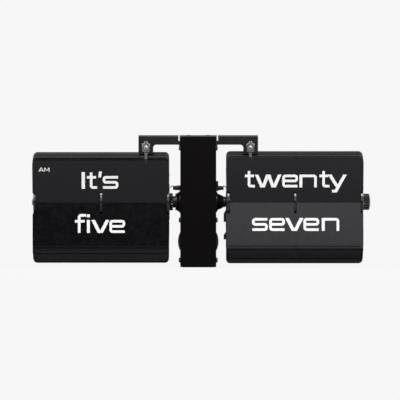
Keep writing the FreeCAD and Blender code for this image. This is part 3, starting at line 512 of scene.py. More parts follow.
class Cut(Enum):
    """How a pen stroke of a letter ends."""

    SQUARE = "square to the stroke"
    LEVEL = "level with the line of writing"


@dataclass(frozen=True)
class Stroke:
    """One pen stroke: its middle line, its width, its corner radius and how its ends are cut."""

    line: tuple[tuple[float, float], ...]
    weight: float
    bend: float = 0.0
    cut: Cut = Cut.SQUARE

    def shell(self, scale: float, low: float, high: float) -> Shell:
        """The stroke as a thin slab, with the letter upright in X and Z and its face towards -Y.

        The left and right edges lie half a weight from the middle line, square to it or along X.

        Args:
            scale: Size of the letter.
            low: Height of the slab's back, towards the viewer from the sheet.
            high: Height of its face.

        Returns:
            The closed slab.
        """
        path = rounded_path(self.line, self.bend) * scale
        if self.cut is Cut.SQUARE:
            ahead = headings(path)
            side = np.stack([-ahead[:, 1], ahead[:, 0]], axis=-1)
        else:
            side = np.tile([1.0, 0.0], (len(path), 1))
        left, right = path + side * self.weight * scale / 2, path - side * self.weight * scale / 2
        edges = [(left, low), (left, high), (right, high), (right, low)]
        rings = [np.stack([edge[:, 0], np.full(len(edge), -height), edge[:, 1]], axis=-1)
                 for edge, height in edges]
        return loft(np.stack(rings, axis=1))


@dataclass(frozen=True)
class Alphabet:
    """Plain wide letters drawn with one round-cornered pen; sizes in millimetres at full scale."""

    x_height: float = 13.7
    tall: float = 20.0
    capital: float = 17.9
    bar_t: float = 17.5
    weight: float = 2.75
    stem: float = 3.1
    bend: float = 1.9
    proud: float = 0.03
    proud_step: float = 0.002

    def letter(self, name: str) -> tuple[float, list[Stroke]]:
        """Width and strokes of a letter.

        Args:
            name: The letter.

        Returns:
            Its width and its strokes, from the left on the line of writing.
        """
        pen, half, high, upper = self.weight, self.weight / 2, self.x_height, self.capital
        top, mid = high - half, high / 2 + 0.1
        bent = {"weight": pen, "bend": self.bend}

        def slant(low: tuple[float, float], up: tuple[float, float], width: float = 3.7) -> Stroke:
            """Leaning stroke with level ends."""
            return Stroke((low, up), width, cut=Cut.LEVEL)

        def arch(width: float) -> list[Stroke]:
            """Right half of an n: over the top and down."""
            return [Stroke(((0.2, top), (width - half, top), (width - half, 0)), **bent)]

        letters = {
            "s": (16.5, [Stroke(((16.2, top), (half, top), (half, mid), (16.5 - half, mid),
                                 (16.5 - half, half), (0.3, half)), **bent)]),
            "e": (16.6, [Stroke(((half, mid), (16.6 - half, mid), (16.6 - half, top), (half, top),
                                 (half, half), (16.2, half)), **bent),
                         Stroke(((half, mid), (6.0, mid)), pen)]),
            "v": (19.3, [slant((8.9, 0), (1.95, high), 3.9), slant((10.4, 0), (17.35, high), 3.9)]),
            "w": (28.2, [slant((7.8, 0), (1.85, high)), slant((8.7, 0), (13.7, high)),
                         slant((19.5, 0), (14.5, high)), slant((20.4, 0), (26.35, high))]),
            "y": (20.0, [slant((9.7, 1.0), (1.95, high), 3.8), slant((7.6, -5.4), (18.0, high), 3.8),
                         Stroke(((4.4, -4.05), (8.6, -4.05)), pen)]),
            "n": (18.2, [Stroke(((half, 0), (half, high)), self.stem), *arch(18.2)]),
            "h": (18.0, [Stroke(((half, 0), (half, self.tall)), self.stem), *arch(18.0)]),
            "t": (10.8, [Stroke(((4.4, self.bar_t), (4.4, half), (10.6, half)), **bent),
                         Stroke(((0, top), (9.6, top)), pen)]),
            "f": (11.9, [Stroke(((4.6, 0), (4.6, self.tall - half), (11.9, self.tall - half)), **bent),
                         Stroke(((0, top), (10.4, top)), pen)]),
            "i": (3.8, [Stroke(((1.9, 0), (1.9, high)), 3.2),
                        Stroke(((1.9, 16.4), (1.9, self.tall - 0.4)), 3.2)]),
            "x": (19.0, [slant((2.2, 0), (16.8, high), 4.0), slant((16.8, 0), (2.2, high), 4.0)]),
            "g": (17.0, [Stroke(((17 - half, half), (half, half), (half, top), (17 - half, top),
                                 (17 - half, -3.8), (1.0, -3.8)), **bent)]),
            "I": (3.8, [Stroke(((1.9, 0), (1.9, upper)), 3.5)]),
            "'": (3.8, [slant((1.3, 12.2), (2.2, upper + 0.7), 2.9)]),
            "A": (24.0, [slant((2.0, 0), (10.8, upper), 3.6), slant((22.0, 0), (13.2, upper), 3.6),
                         Stroke(((5.0, 4.6), (19.0, 4.6)), 2.6)]),
            "M": (24.0, [Stroke(((1.7, 0), (1.7, upper)), 3.3), Stroke(((22.3, 0), (22.3, upper)), 3.3),
                         slant((11.5, 4.0), (2.8, upper), 3.5), slant((12.5, 4.0), (21.2, upper), 3.5)]),
        }
        return letters[name]

    def word(self, letters: str, lefts: tuple[float, ...], scale: float) -> Shell:
        """A word on its line of writing, from X = 0.

        Each stroke's face stands a little higher than the one before it, so no two faces share a plane.

        Args:
            letters: The word.
            lefts: Left edge of each letter.
            scale: Size of the word.

        Returns:
            The slabs of all strokes.
        """
        slabs = []
        for name, left in zip(letters, lefts):
            for stroke in self.letter(name)[1]:
                slab = stroke.shell(scale, 0.0, self.proud + self.proud_step * len(slabs))
                slabs.append(slab.turned(np.eye(3), np.array([left, 0, 0])))
        return joined(slabs)

    def lefts(self, letters: str, gap: float = 1.8) -> tuple[float, ...]:
        """Left edges of letters that stand a gap apart."""
        widths = [self.letter(name)[0] + gap for name in letters]
        return tuple(np.cumsum([0.0] + widths[:-1]).tolist())


class Face(Enum):
    """Face of a leaf, as it stands at the top of the fan."""

    FRONT = "towards the viewer"
    BACK = "away from the viewer"


@dataclass(frozen=True)
class Word:
    """A printed word: where it starts along X, how far from the hinge its line of writing lies, its size."""

    letters: str
    lefts: tuple[float, ...]
    start: float
    line: float
    face: Face = Face.FRONT
    scale: float = 1.0


# Leaves


@dataclass(frozen=True)
class Lie:
    """Small ways in which one leaf differs from the next: lengths in millimetres, angles in degrees.

    bow is the bow of the free edge, roll how far that edge is rolled by the cutting die, sag how far the
    outer part droops, tilt and shift how it lies on its hinge, and drop how far it hangs down in its pivot
    holes. short is how much its lip below the hinge is cut back, so that it clears the next leaf as it falls.
    """

    bow: float = 0.10
    roll: float = -10.0
    sag: float = 0.0
    tilt: float = 0.0
    shift: float = 0.0
    drop: float = 0.0
    short: float = 0.0


@dataclass(frozen=True)
class Spread:
    """How far leaves differ in their lie, as standard deviations, and the least roll of a free edge."""

    bow: float = 0.02
    roll: float = 3.0
    least_roll: float = -4.0
    sag: float = 1.8
    hanging_sag: float = 3.4
    tilt: float = 0.08
    shift: float = 0.10


@dataclass
class LeafFan:
    """The leaves of one drum: thin sheets with a notch for each disc, fanned round the drum.

    A leaf is drawn upright: X as in the frame, Z from the hinge to its free edge, and Y through its sheet.
    play is how far a hanging leaf drops in its pivot holes. settle is how many degrees the upper leaves lie
    lower than the front one, reached over settle_span degrees of the pile. second_lower turns the second leaf
    below the hinge line, and front_short cuts back the lip of the falling leaf. From the direction loose on,
    in degrees, a leaf drops in its holes, and from slack on its outer part sags more. upper_sags are the sags
    of the two leaves behind the falling one, and seed starts the chances of the others.
    """

    side: Side
    inner: float
    width: float
    reach: float
    lip: float
    count: int
    front: float
    play: float
    words: dict[str, tuple[Word, ...]]
    sheet: float = 0.25
    corner: float = 4.3
    notch: float = 11.6
    notch_half: float = 1.55
    first_disc_end: float = 33.2
    middle_disc: float = 102.7
    last_disc_start: float = 172.2
    clear: float = 0.3
    lie: float = 80.0
    settle: float = 5.4
    settle_span: float = 30.0
    second_lower: float = 0.0
    front_short: float = 0.0
    roll_length: float = 0.7
    sag_length: float = 9.0
    loose: float = 200.0
    slack: float = 265.0
    upper_sags: tuple[float, float] = (8.0, 5.0)
    seed: int = 1

    def angles(self) -> np.ndarray:
        """Angles of the hinges round the drum, from the front one upwards."""
        return self.front + 360.0 * np.arange(self.count) / self.count

    def lies(self) -> list[Lie]:
        """How each leaf lies: plainly at the hinge line, sagging just above it, and by chance elsewhere.

        Returns:
            One row for each leaf, in the order of the angles.
        """
        draw = np.random.default_rng(self.seed).normal(0, 1, (5, self.count))
        plain, spread = Lie(), Spread()
        lies = []
        for angle, bow, roll, sag, tilt, shift in zip(self.angles(), *draw):
            direction = self.direction(angle)
            most_sag = spread.hanging_sag if direction >= self.slack else spread.sag
            lies.append(Lie(bow=plain.bow + spread.bow * bow,
                            roll=min(spread.least_roll, plain.roll + spread.roll * roll),
                            sag=most_sag * sag, tilt=spread.tilt * tilt, shift=spread.shift * shift,
                            drop=self.play * (direction >= self.loose)))
        upper = [Lie(short=self.front_short)] + [Lie(sag=sag) for sag in self.upper_sags]
        lower = [Lie(tilt=-self.second_lower, drop=self.play / 2), plain]
        return upper + lies[len(upper):-len(lower)] + lower

    def direction(self, angle: float) -> float:
        """Direction of the leaf at an angle: straight down, unless it lies on its neighbour."""
        settled = self.settle * min(max((angle - self.front) / self.settle_span, 0.0), 1.0) ** 1.5
        return max(min(angle + self.lie - settled, DOWN), angle - self.lie)

    def placed(self, shell: Shell, angle: float, lie: Lie) -> Shell:
        """A surface drawn on an upright leaf, brought to the leaf's place in the fan.

        Args:
            shell: The surface.
            angle: Angle of the leaf's hinge round the drum.
            lie: How the leaf lies.

        Returns:
            The surface in the shared frame.
        """
        turn = math.radians(angle)
        hinge = np.array([lie.shift, -HINGE_RADIUS * math.cos(turn),
                          AXIS_HEIGHT + HINGE_RADIUS * math.sin(turn) - lie.drop])
        return shell.turned(turn_about_x(90 - self.direction(angle) + lie.tilt), hinge)

    def notch_ends(self) -> tuple[float, float]:
        """How far the open notches for the first and the last disc reach in from the ends of the leaf."""
        return (self.first_disc_end + self.clear - self.inner,
                self.inner + self.width - self.last_disc_start + self.clear)

    def foot(self, place: np.ndarray, lie: Lie) -> np.ndarray:
        """Lower edge of a leaf: the lip, and round-topped notches at both ends and in the middle.

        Near its top a notch follows z = top - h + sqrt(h^2 - d^2), with h half its width and d the distance
        from its middle line.

        Args:
            place: Places across the leaf.
            lie: How the leaf lies.

        Returns:
            Height of the edge above the hinge at each place.
        """
        top, half = self.notch - self.lip, self.notch_half
        away = np.abs(place - self.middle_disc + self.inner)
        middle = top - half + np.sqrt(np.maximum(half ** 2 - away ** 2, 0))
        near, far = self.notch_ends()
        inside = np.maximum(near - place, place - self.width + far)
        over = np.clip(half - inside, 0, half)
        outer = top - half + np.sqrt(half ** 2 - over ** 2)
        foot = np.where(away <= half, middle, lie.short - self.lip)
        return np.where(inside >= 0, outer, foot)

    def top(self, place: np.ndarray) -> np.ndarray:
        """Upper edge of a leaf at a place across it, with round corners."""
        over = np.clip(self.corner - np.minimum(place, self.width - place), 0, self.corner)
        return self.reach - self.corner + np.sqrt(self.corner ** 2 - over ** 2)

    def swell(self, place: np.ndarray, height: np.ndarray, lie: Lie) -> np.ndarray:
        """How far a leaf's face leaves its plane.

        It bows by bow * (1 - (2u - 1)^2) * v, with u across the leaf and v from hinge to free edge. The sag
        and the rolled edge each add tan(angle) * d^2 / (2 * length), with d the way into their length at the
        free edge.

        Args:
            place: Places across the leaf.
            height: Heights above the hinge.
            lie: How the leaf lies.

        Returns:
            Distance from the plane, positive away from the leaf's front.
        """
        bowed = lie.bow * (1 - (2 * place / self.width - 1) ** 2) * height / self.reach
        for angle, length in ((lie.roll, self.roll_length), (lie.sag, self.sag_length)):
            into = np.maximum(height - self.reach + length, 0)
            bowed = bowed + math.tan(math.radians(angle)) * into ** 2 / (2 * length)
        return bowed

    def leaf(self, lie: Lie) -> Shell:
        """One leaf, as rings of points that go from its lower to its upper edge and back on the other face.

        The rings stand closer at the corners and notches, and their points closer near the rolled free edge.

        Args:
            lie: How the leaf lies.

        Returns:
            The closed sheet.
        """
        corner = self.corner * (1 - np.cos(np.linspace(0, np.pi / 2, 6)))
        arc = self.notch_half * np.sin(np.linspace(-np.pi / 2, np.pi / 2, 9))
        beside = self.notch_half + 0.06
        middle = self.middle_disc - self.inner + np.concatenate([arc, [-beside, beside]])
        open_face = np.array([16.0, 34.0, 52.0])
        wall = np.array([0.06, 0.0, -0.1, -0.5, -1.0, -1.55])
        near, far = self.notch_ends()
        place = np.concatenate([corner, near + wall, open_face, middle, self.width - open_face,
                                self.width - far - wall, self.width - corner])
        place = np.unique(np.round(place, 4))
        share = 1 - np.array([1, 0.65, 0.35, 0.18, 0.09, 0.015, 0.011, 0.007, 0.003, 0])[None, :]
        low, high = self.foot(place, lie)[:, None], self.top(place)[:, None]
        height = low + (high - low) * share
        swell = self.swell(place[:, None], height, lie)
        across = np.full_like(height, 1.0) * (self.inner + place[:, None]) * self.side.value
        front = np.stack([across, swell - self.sheet / 2, height], axis=-1)
        back = np.stack([across, swell + self.sheet / 2, height], axis=-1)[:, ::-1]
        return loft(np.concatenate([front, back], axis=1))

    def print_word(self, word: Word, lie: Lie) -> Shell:
        """A word lying on a leaf's face, bowed with it.

        Args:
            word: The word.
            lie: How the leaf lies.

        Returns:
            The word's slabs on the upright leaf.
        """
        shell = Alphabet().word(word.letters, word.lefts, word.scale)
        across = shell.points[:, 0] + word.start
        rise, proud = shell.points[:, 2], -shell.points[:, 1]
        away = -1 if word.face is Face.FRONT else 1
        height = word.line - away * rise
        place = np.abs(across) - self.inner
        depth = self.swell(place, height, lie) + away * (self.sheet / 2 + proud)
        return Shell(np.stack([across, depth, height], axis=-1), shell.faces).outward()

    def build(self) -> None:
        """Make the falling leaf, the lower leaf, the three piles and their words."""
        name = self.side.word
        angles, lies = self.angles(), self.lies()
        hanging = DOWN - self.lie
        flag = f"{name}_top_flap"
        numbers = np.arange(self.count)
        groups = {
            f"{name}_flap": (numbers[:1], flag),
            f"{name}_flaps_upper": (numbers[1:][angles[1:] <= hanging / 2], "frame"),
            f"{name}_flaps_rear": (numbers[(angles > hanging / 2) & (angles <= hanging)], "frame"),
            f"{name}_flaps_hanging": (numbers[:-1][angles[:-1] > hanging], "frame"),
            f"{name}_flap_lower": (numbers[-1:], "frame")}
        for node, (members, body) in groups.items():
            leaves = [self.placed(self.leaf(lies[one]), angles[one], lies[one]) for one in members]
            shown(node.replace("flap", "leaf"), joined(leaves), LEAF_SHEET, body, (node,),
                  crease=50)
        places = {"falling": (0, flag), "next": (1, "frame"), "lower": (self.count - 1, "frame")}
        for key, words in self.words.items():
            number, body = places[key]
            for order, word in enumerate(words, start=1):
                surface = self.placed(self.print_word(word, lies[number]), angles[number], lies[number])
                shown(f"{name}_{key}_word_{order}", surface, WORD_PRINT, body, crease=40)


# Drums


@dataclass
class Drum:
    """Three discs on a spindle, with the ends of the leaf pivots round each outer face."""

    side: Side
    count: int
    front: float
    inner: float = 30.7
    width: float = 144.0
    disc_width: float = 2.5
    rim: float = 20.3
    bore: float = 6.15

    def disc(self, middle: float) -> Shell:
        """One disc: hub, thin web and thick rim turned about the drum axis.

        Args:
            middle: Distance of its middle plane from the column's.

        Returns:
            The closed disc.
        """
        half = self.disc_width / 2
        one_face = [(half, self.bore), (half, 9.2), (half - 0.45, 9.8), (half - 0.45, 15.4), (half, 16.0),
                    (half, self.rim - 0.3), (half - 0.1, self.rim - 0.1), (half - 0.3, self.rim),
                    (half - 0.36, self.rim)]
        profile = one_face + [(-along, radius) for along, radius in reversed(one_face)]
        return turned_profile(profile, (middle * self.side.value, 0, AXIS_HEIGHT), "X", 96, endless=True)

    def pivot_ends(self, face: float, outward: int) -> Shell:
        """Round pivot ends that stand out of a disc face, one at each leaf hinge.

        Args:
            face: Place of the disc face along X.
            outward: 1 or -1, the sense along X in which they stand out.

        Returns:
            All pivot ends of the face.
        """
        turn = np.radians(self.front + 360.0 * np.arange(self.count) / self.count)
        profile = [(-0.3, 0.55), (0.10, 0.55), (0.18, 0.42)]
        places = [(face, -HINGE_RADIUS * math.cos(t), AXIS_HEIGHT + HINGE_RADIUS * math.sin(t))
                  for t in turn]
        return joined([turned_profile(profile, place, "X", 8, way=outward) for place in places])

    def build(self) -> None:
        """Make the discs with their pivot ends, and dress the spindle."""
        name, sign = self.side.word, self.side.value
        half = self.disc_width / 2
        middles = [self.inner + half, self.inner + self.width / 2, self.inner + self.width - half]
        discs = [self.disc(middle) for middle in middles]
        discs.append(self.pivot_ends(self.inner * sign, -sign))
        discs.append(self.pivot_ends((self.inner + self.width) * sign, sign))
        shown(f"{name}_disc_set", joined(discs), DISC_MOULDING, f"{name}_drum",
              (f"{name}_discs",))
        dressed(SPINDLE_STEEL, f"{name}_spindle")


@dataclass
class Knob:
    """Setting knob on a spindle: ribbed round the edge, from its flat face at start to its domed end."""

    side: Side
    start: float
    end: float
    radius: float
    dome: float
    ribs: int = 18
    depth: float = 0.95
    bore: float = 2.03

    def shell(self) -> Shell:
        """The knob, turned about the drum axis.

        Returns:
            The closed knob.
        """
        start, end, radius, dome = self.start, self.end, self.radius, self.dome
        way = 1 if end > start else -1
        crown = end - dome * way
        profile = [(start, self.bore), (start, radius - 0.5), (start + 0.35 * way, radius),
                   (crown - 0.5 * way, radius), (crown - 0.1 * way, radius - 0.25),
                   (crown + 0.3 * dome * way, radius - 1.2),
                   (crown + 0.7 * dome * way, radius - 3.0), (end, radius - 5.0), (end, self.bore + 0.6),
                   (end - 0.3 * way, self.bore)]
        return turned_profile(profile, (0, 0, AXIS_HEIGHT), "X", 8 * self.ribs, endless=True,
                              ribs=(self.ribs, self.depth, radius - 1.2))

    def build(self) -> None:
        """Make the knob on its drum."""
        name = self.side.word
        shown(f"{name}_setting_knob", self.shell(), KNOB_MOULDING, f"{name}_drum",
              (f"{name}_knob",))


# Column


@dataclass(frozen=True)
class ScrewHead:
    """Domed screw head with a cross recess: its radius and its height."""

    radius: float
    height: float

    def shell(self, seat: tuple[float, float, float], axis: str, way: int) -> Shell:
        """The head on its seat.

        Over radius r and angle t the face stands height * (1 - (r / R)^4 / 2), less half the height where the
        smaller of |r cos t| and |r sin t| is below 0.13 R and r is below 0.6 R.

        Args:
            seat: Middle of the head's seat.
            axis: Axis that the screw lies along.
            way: 1 or -1, the sense in which the head stands out.

        Returns:
            The closed head.
        """
        radius, height = self.radius, self.height
        reach = radius * np.array([0.06, 0.16, 0.26, 0.38, 0.50, 0.58, 0.66, 0.80, 0.92, 1.0, 1.0])[:, None]
        turn = np.linspace(0, 2 * np.pi, 48, endpoint=False) + np.pi / 48
        first, second = reach * np.cos(turn), reach * np.sin(turn)
        dome = height * (1 - 0.5 * (reach / radius) ** 4) + 0 * turn
        cross = (np.minimum(np.abs(first), np.abs(second)) < radius * 0.13) & (reach < radius * 0.6)
        stand = np.where(cross, dome - height * 0.5, dome)
        stand[-1] = 0.0
        stand = stand * way
        return loft(about(axis, stand, first, second, seat))


@dataclass
class Column:
    """The cover, the bracket, the case behind them and what is screwed to them."""

    cover_side: float = 19.0
    flange_y: float = -19.7
    cover_screws: tuple[float, ...] = (126.3, 50.1, 7.7)
    top_screw: tuple[float, float, float] = (10.3, -4.5, 139.7)
    case_screws: tuple[tuple[float, float], ...] = ((-17.0, 57.0), (-17.0, 97.0), (11.6, 53.0))
    hanger_screw: tuple[float, float, float] = (9.5, 60.5, 127.0)

    def build(self) -> None:
        """Dress the sheet metal and the case, and make the screws."""
        dressed(COLUMN_COAT, "column_cover")
        dressed(ARM_COAT, "top_bracket")
        dressed(CASE_MOULDING, "case_left", "case_right")
        dressed(FOOT_RUBBER, "base_pad")
        dressed(HANGER_ZINC, "wall_hanger")
        dressed(GUIDE_STEEL, "flap_guide")
        flange, flat = ScrewHead(radius=2.75, height=1.7), ScrewHead(radius=2.6, height=0.7)
        small, zinc = ScrewHead(radius=2.2, height=0.6), ScrewHead(radius=2.4, height=1.3)
        cover = [flange.shell((way * self.cover_side, self.flange_y, height), "X", way)
                 for way in (1, -1) for height in self.cover_screws]
        top = [flat.shell((way * self.top_screw[0], *self.top_screw[1:]), "Z", 1) for way in (1, -1)]
        case = [small.shell((CASE_SIDE, *place), "X", 1) for place in self.case_screws]
        back = [zinc.shell((way * self.hanger_screw[0], *self.hanger_screw[1:]), "Y", 1) for way in (-1, 1)]
        for name, heads in (("cover", cover), ("bracket", top), ("case", case)):
            shown(f"{name}_screw_heads", joined(heads), SCREW_BLACK, "frame")
        shown("hanger_screw_heads", joined(back), SCREW_ZINC, "frame")


@dataclass
class Claw:
    """Spring claw on an ear of the bracket: a folded plate with a screw, and a finger over the leaf's edge.

    crest and forward are the height of the leaf's edge that the finger goes over and its distance in front
    of the axis. fixed, the level above height that would stay where it is as the claw draws up, and kept, the
    share of the claw's height that would be left, are not used.
    """

    side: Side
    crest: float
    forward: float
    place: float = 55.2
    height: float = 126.0
    face: float = -24.5
    sheet: float = 0.5
    hook: float = 3.3
    fixed: float = 4.2
    kept: float = 0.8

    def plate(self) -> Shell:
        """Channel with both long edges folded forward, narrowed to a crown at its top.

        The section is a flat web with two lips; at height z the half width is w(z) and the lips stand l(z).

        Returns:
            The closed plate.
        """
        z = np.array([-4.2, -4.0, -3.3, -0.6, 2.6, 3.9, 4.4, 4.9, 5.4, 6.2, 6.9, 7.2])
        w = np.array([2.9, 3.6, 4.1, 3.95, 4.15, 4.1, 3.7, 2.6, 2.0, 1.75, 1.3, 0.9])
        lip = np.array([0.3, 0.8, 1.2, 1.3, 1.3, 1.2, 1.0, 0.8, 0.7, 0.6, 0.5, 0.3])
        t, y = self.sheet, 0 * w
        outline = [(-w, y), (w, y), (w, -t - lip), (w - t, -t - lip), (w - t, y - t), (t - w, y - t),
                   (t - w, -t - lip), (-w, -t - lip)]
        middle = self.place * self.side.value
        rings = [np.stack([x + middle, depth + self.face, z + self.height], axis=-1) for x, depth in outline]
        return loft(np.stack(rings, axis=1))

    def finger(self) -> Shell:
        """Finger that leaves the plate's foot, leans out over the leaf's crest and hangs in front of it.

        Its width falls from 3.6 mm at the root to 1.5 mm at the tip, in proportion to height.

        Returns:
            The closed finger.
        """
        seat, root, tip = self.face - self.sheet / 2, self.height - 4.0, self.crest - self.hook
        out = -self.forward - self.sheet / 2
        line = rounded_path(((seat, root), (seat, root - 1.0), (out, self.crest + 1.5), (out, tip)), 0.9)
        half = np.interp(line[:, 1], [tip, root - 1.0], [0.75, 1.8])
        ahead = headings(line)
        normal = np.stack([ahead[:, 1], -ahead[:, 0]], axis=-1) * self.sheet / 2
        x = self.place * self.side.value
        left, right, front, back = x - half, x + half, line - normal, line + normal
        ring = [(left, back), (right, back), (right, front), (left, front)]
        rings = [np.stack([across, edge[:, 0], edge[:, 1]], axis=-1) for across, edge in ring]
        return loft(np.stack(rings, axis=1))

    def build(self) -> None:
        """Make the claw and its finger, each with a mesh of its own, and the claw's screw."""
        name = self.side.word
        claw = shown(f"{name}_spring_claw", self.plate(), CLAW_STEEL, "frame",
                     (f"{name}_claw",))
        finger = shown(f"{name}_spring_finger", self.finger(), FINGER_PAINTED_SHADE_STEEL, "frame")
        for piece in (claw, finger):
            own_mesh(piece)
        seat = (self.place * self.side.value, self.face - self.sheet, self.height + 0.3)
        screw = ScrewHead(radius=2.4, height=1.3).shell(seat, "Y", -1)
        shown(f"{name}_claw_screw", screw, SCREW_ZINC, "frame")


# Bearings and clicks between the column and the drums


@dataclass
class Bearing:
    """Moulded boss that carries a spindle, and the click spring above it.

    wide, shoulder, small and neck are radii of the boss, neck_start and end places along it, and rise is how
    far the click base reaches above the click post.
    """

    side: Side
    wide: float
    shoulder: float
    small: float
    neck: float
    neck_start: float
    end: float
    rise: float
    plate: float = 2.8
    bore: float = 2.04
    gap: float = 0.3
    click_back: float = 8.0
    click_height: float = 84.2
    click_end: float = 26.9
    base_out: float = 3.7
    base_half: float = 3.2
    drum_start: float = 30.7

    def boss(self) -> Shell:
        """Flanged boss turned about the drum axis: a round plate, a cone with a grooved rim and a neck.

        Returns:
            The closed boss.
        """
        wall, step, neck, end = CASE_SIDE, CASE_SIDE + self.plate, self.neck_start, self.end
        wide, small = self.wide, self.small
        profile = [(wall, self.bore), (wall, wide - 0.2), (wall + 0.2, wide), (step - 0.3, wide),
                   (step, wide - 0.3), (step + 0.05, self.shoulder + 0.3),
                   (step + 0.4, self.shoulder - 0.05), (neck - 1.7, small + 0.25), (neck - 1.6, small - 0.45),
                   (neck - 1.2, small - 0.45), (neck - 1.1, small), (neck - 0.2, small), (neck, small - 0.2),
                   (neck, self.neck), (end - 0.2, self.neck), (end, self.neck - 0.2), (end, self.bore)]
        return turned_profile(profile, (0, 0, AXIS_HEIGHT), "X", 72, endless=True, way=self.side.value)

    def base(self) -> Shell:
        """Click base: a block with rounded edges that stands a gap above the boss.

        A rounded rectangle, half a side plus the corner radius times (cos t, sin t) in each quarter, is
        carried along X and drawn in at its end.

        Returns:
            The closed block.
        """
        turn = np.linspace(0, 2 * np.pi, 32, endpoint=False)
        foot, top = AXIS_HEIGHT + self.wide + self.gap, self.click_height + self.rise
        corner, wall, end = 0.9, CASE_SIDE, CASE_SIDE + self.base_out
        half_y, half_z, middle = self.base_half - corner, (top - foot) / 2 - corner, (top + foot) / 2
        rings = []
        for place, grow in ((wall, 0.0), (end - 0.5, 0.0), (end - 0.15, -0.15), (end, -0.5)):
            y = np.sign(np.cos(turn)) * half_y + (corner + grow) * np.cos(turn) - self.click_back
            z = np.sign(np.sin(turn)) * half_z + (corner + grow) * np.sin(turn) + middle
            rings.append(np.stack([np.full(32, place * self.side.value), y, z], axis=-1))
        return loft(np.stack(rings))

    def post(self) -> Shell:
        """Click post with a groove for the spring, turned about its own axis.

        Returns:
            The closed post.
        """
        start, end = CASE_SIDE + self.base_out - 0.6, self.click_end
        profile = [(start, 2.6), (end - 2.4, 2.55), (end - 2.1, 2.1), (end - 1.3, 2.1), (end - 1.0, 2.5),
                   (end - 0.3, 2.5), (end, 2.1), (end, 0.8)]
        centre = (0, -self.click_back, self.click_height)
        return turned_profile(profile, centre, "X", 32, way=self.side.value)

    def wire(self) -> Shell:
        """Spring wire: from the post's groove over its end and across to the inner disc.

        Returns:
            The closed wire.
        """
        corners = ((CASE_SIDE + self.base_out, 2.3), (self.click_end - 0.6, 2.3),
                   (self.drum_start - 2.0, 1.3), (self.drum_start - 0.5, 0.2))
        line = rounded_path(corners, 1.2)
        path = np.stack([line[:, 0] * self.side.value, np.full(len(line), -self.click_back),
                         self.click_height + line[:, 1]], axis=-1)
        return along_path(path, round_section(0.6), np.array([0, 1.0, 0]))

    def build(self) -> None:
        """Make the boss, the click post on its base and the wire."""
        pieces = (("bearing_boss", self.boss(), BOSS_MOULDING, "black_plastic", "bearing"),
                  ("click_stud", joined([self.base(), self.post()]), BOSS_MOULDING, "black_plastic",
                   "click_post"),
                  ("click_spring", self.wire(), SPINDLE_STEEL, "spring_steel", "click_wire"))
        name = self.side.word
        for piece, shell, finish, slot, node in pieces:
            shown(f"{name}_{piece}", shell, finish, "frame", (f"{name}_{node}",))


# Works and power


@dataclass
class Works:
    """The gear train, the motor, the board, the cell and its cap."""

    barrel_height: float = 27.3
    cell_rear: float = 51.0
    cell_length: float = 60.0
    cell_radius: float = 17.1
    case_rear: float = 59.0
    cap_radius: float = 20.4
    plug_radius: float = 18.3

    def cell(self) -> Shell:
        """Round cell with a crimped shoulder at each end and a nub at its front.

        Returns:
            The closed cell.
        """
        rear, front, r = self.cell_rear, self.cell_rear - self.cell_length, self.cell_radius
        profile = [(front - 1.5, 4.2), (front - 1.2, 4.7), (front, 4.75), (front, 13.0), (front + 0.15, 14.5),
                   (front + 0.1, 16.0), (front + 0.8, r - 0.15), (front + 1.8, r), (rear - 1.8, r),
                   (rear - 0.8, r - 0.15), (rear - 0.05, 16.0), (rear - 0.5, 14.6), (rear, 13.0), (rear, 2.0)]
        return turned_profile(profile, (0, 0, self.barrel_height), "Y", 72)

    def cap(self) -> Shell:
        """Cap with a coin slot across its face.

        Rows of points at height z run across the disc at x = u * sqrt(R^2 - z^2). The face lies at the rim
        height, rounded off near the edge, and falls to the seat inside the slot, |z| < 1.33 and |x| < 8.53.

        Returns:
            The disc with its slot and the plug behind it, each closed.
        """
        r, seat, rim = self.cap_radius, self.case_rear, self.case_rear + 1.5
        rows = r * np.sin(np.linspace(-0.5, 0.5, 25) * np.pi * 0.992)
        slot_rows = [-1.9, -1.36, -1.3, -0.6, 0.0, 0.6, 1.3, 1.36, 1.9]
        z = np.sort(np.concatenate([rows[np.abs(rows) > 2.0], slot_rows]))[:, None]
        ends = np.array([8.5, 8.56]) / r
        u = np.sort(np.concatenate([np.sin(np.linspace(-0.5, 0.5, 21) * np.pi), ends, -ends]))[None, :]
        x = u * np.sqrt(np.maximum(r ** 2 - z ** 2, 0))
        away = np.hypot(x, z + 0 * x)
        face = rim - 0.35 * np.clip((away - r + 0.7) / 0.7, 0, 1) ** 2
        slot = (np.abs(z) < 1.33) & (np.abs(u) < 8.53 / r)
        face = np.where(slot, seat + 0.15, face)
        height = self.barrel_height + z + 0 * x
        outer = np.stack([x, face, height], axis=-1)
        under = np.stack([x, np.full_like(x, seat), height], axis=-1)[:, ::-1]
        plug = [(seat - 5.0, self.plug_radius - 0.5), (seat - 4.5, self.plug_radius),
                (seat + 0.02, self.plug_radius)]
        return joined([loft(np.concatenate([outer, under], axis=1)),
                       turned_profile(plug, (0, 0, self.barrel_height), "Y", 72)])

    def build(self) -> None:
        """Make the cell and its cap, and dress what lies inside the case."""
        shown("round_cell", self.cell(), CELL_JACKET, "cell", ("battery_cell",))
        shown("coin_slot_cap", self.cap(), CASE_MOULDING, "cap", ("battery_cap",))
        dressed(SPINDLE_STEEL, "cap_contact", "positive_contact", "layshaft_axle")
        dressed(GEAR_ACETAL, "minute_pinion", "hour_wheel", "cluster_gear", "motor_pinion")
        dressed(CASE_MOULDING, "gear_plate")
        dressed(MOTOR_CAN, "motor")
        dressed(BOARD_LACQUER, "circuit_board")


# Studio


def look_from(thing: bpy.types.Object, place: tuple[float, float, float],
              target: tuple[float, float, float]) -> None:
    """Put a lamp or camera at a place and turn it to a target."""
    thing.location = place
    thing.rotation_euler = (Vector(target) - Vector(place)).to_track_quat("-Z", "Y").to_euler()


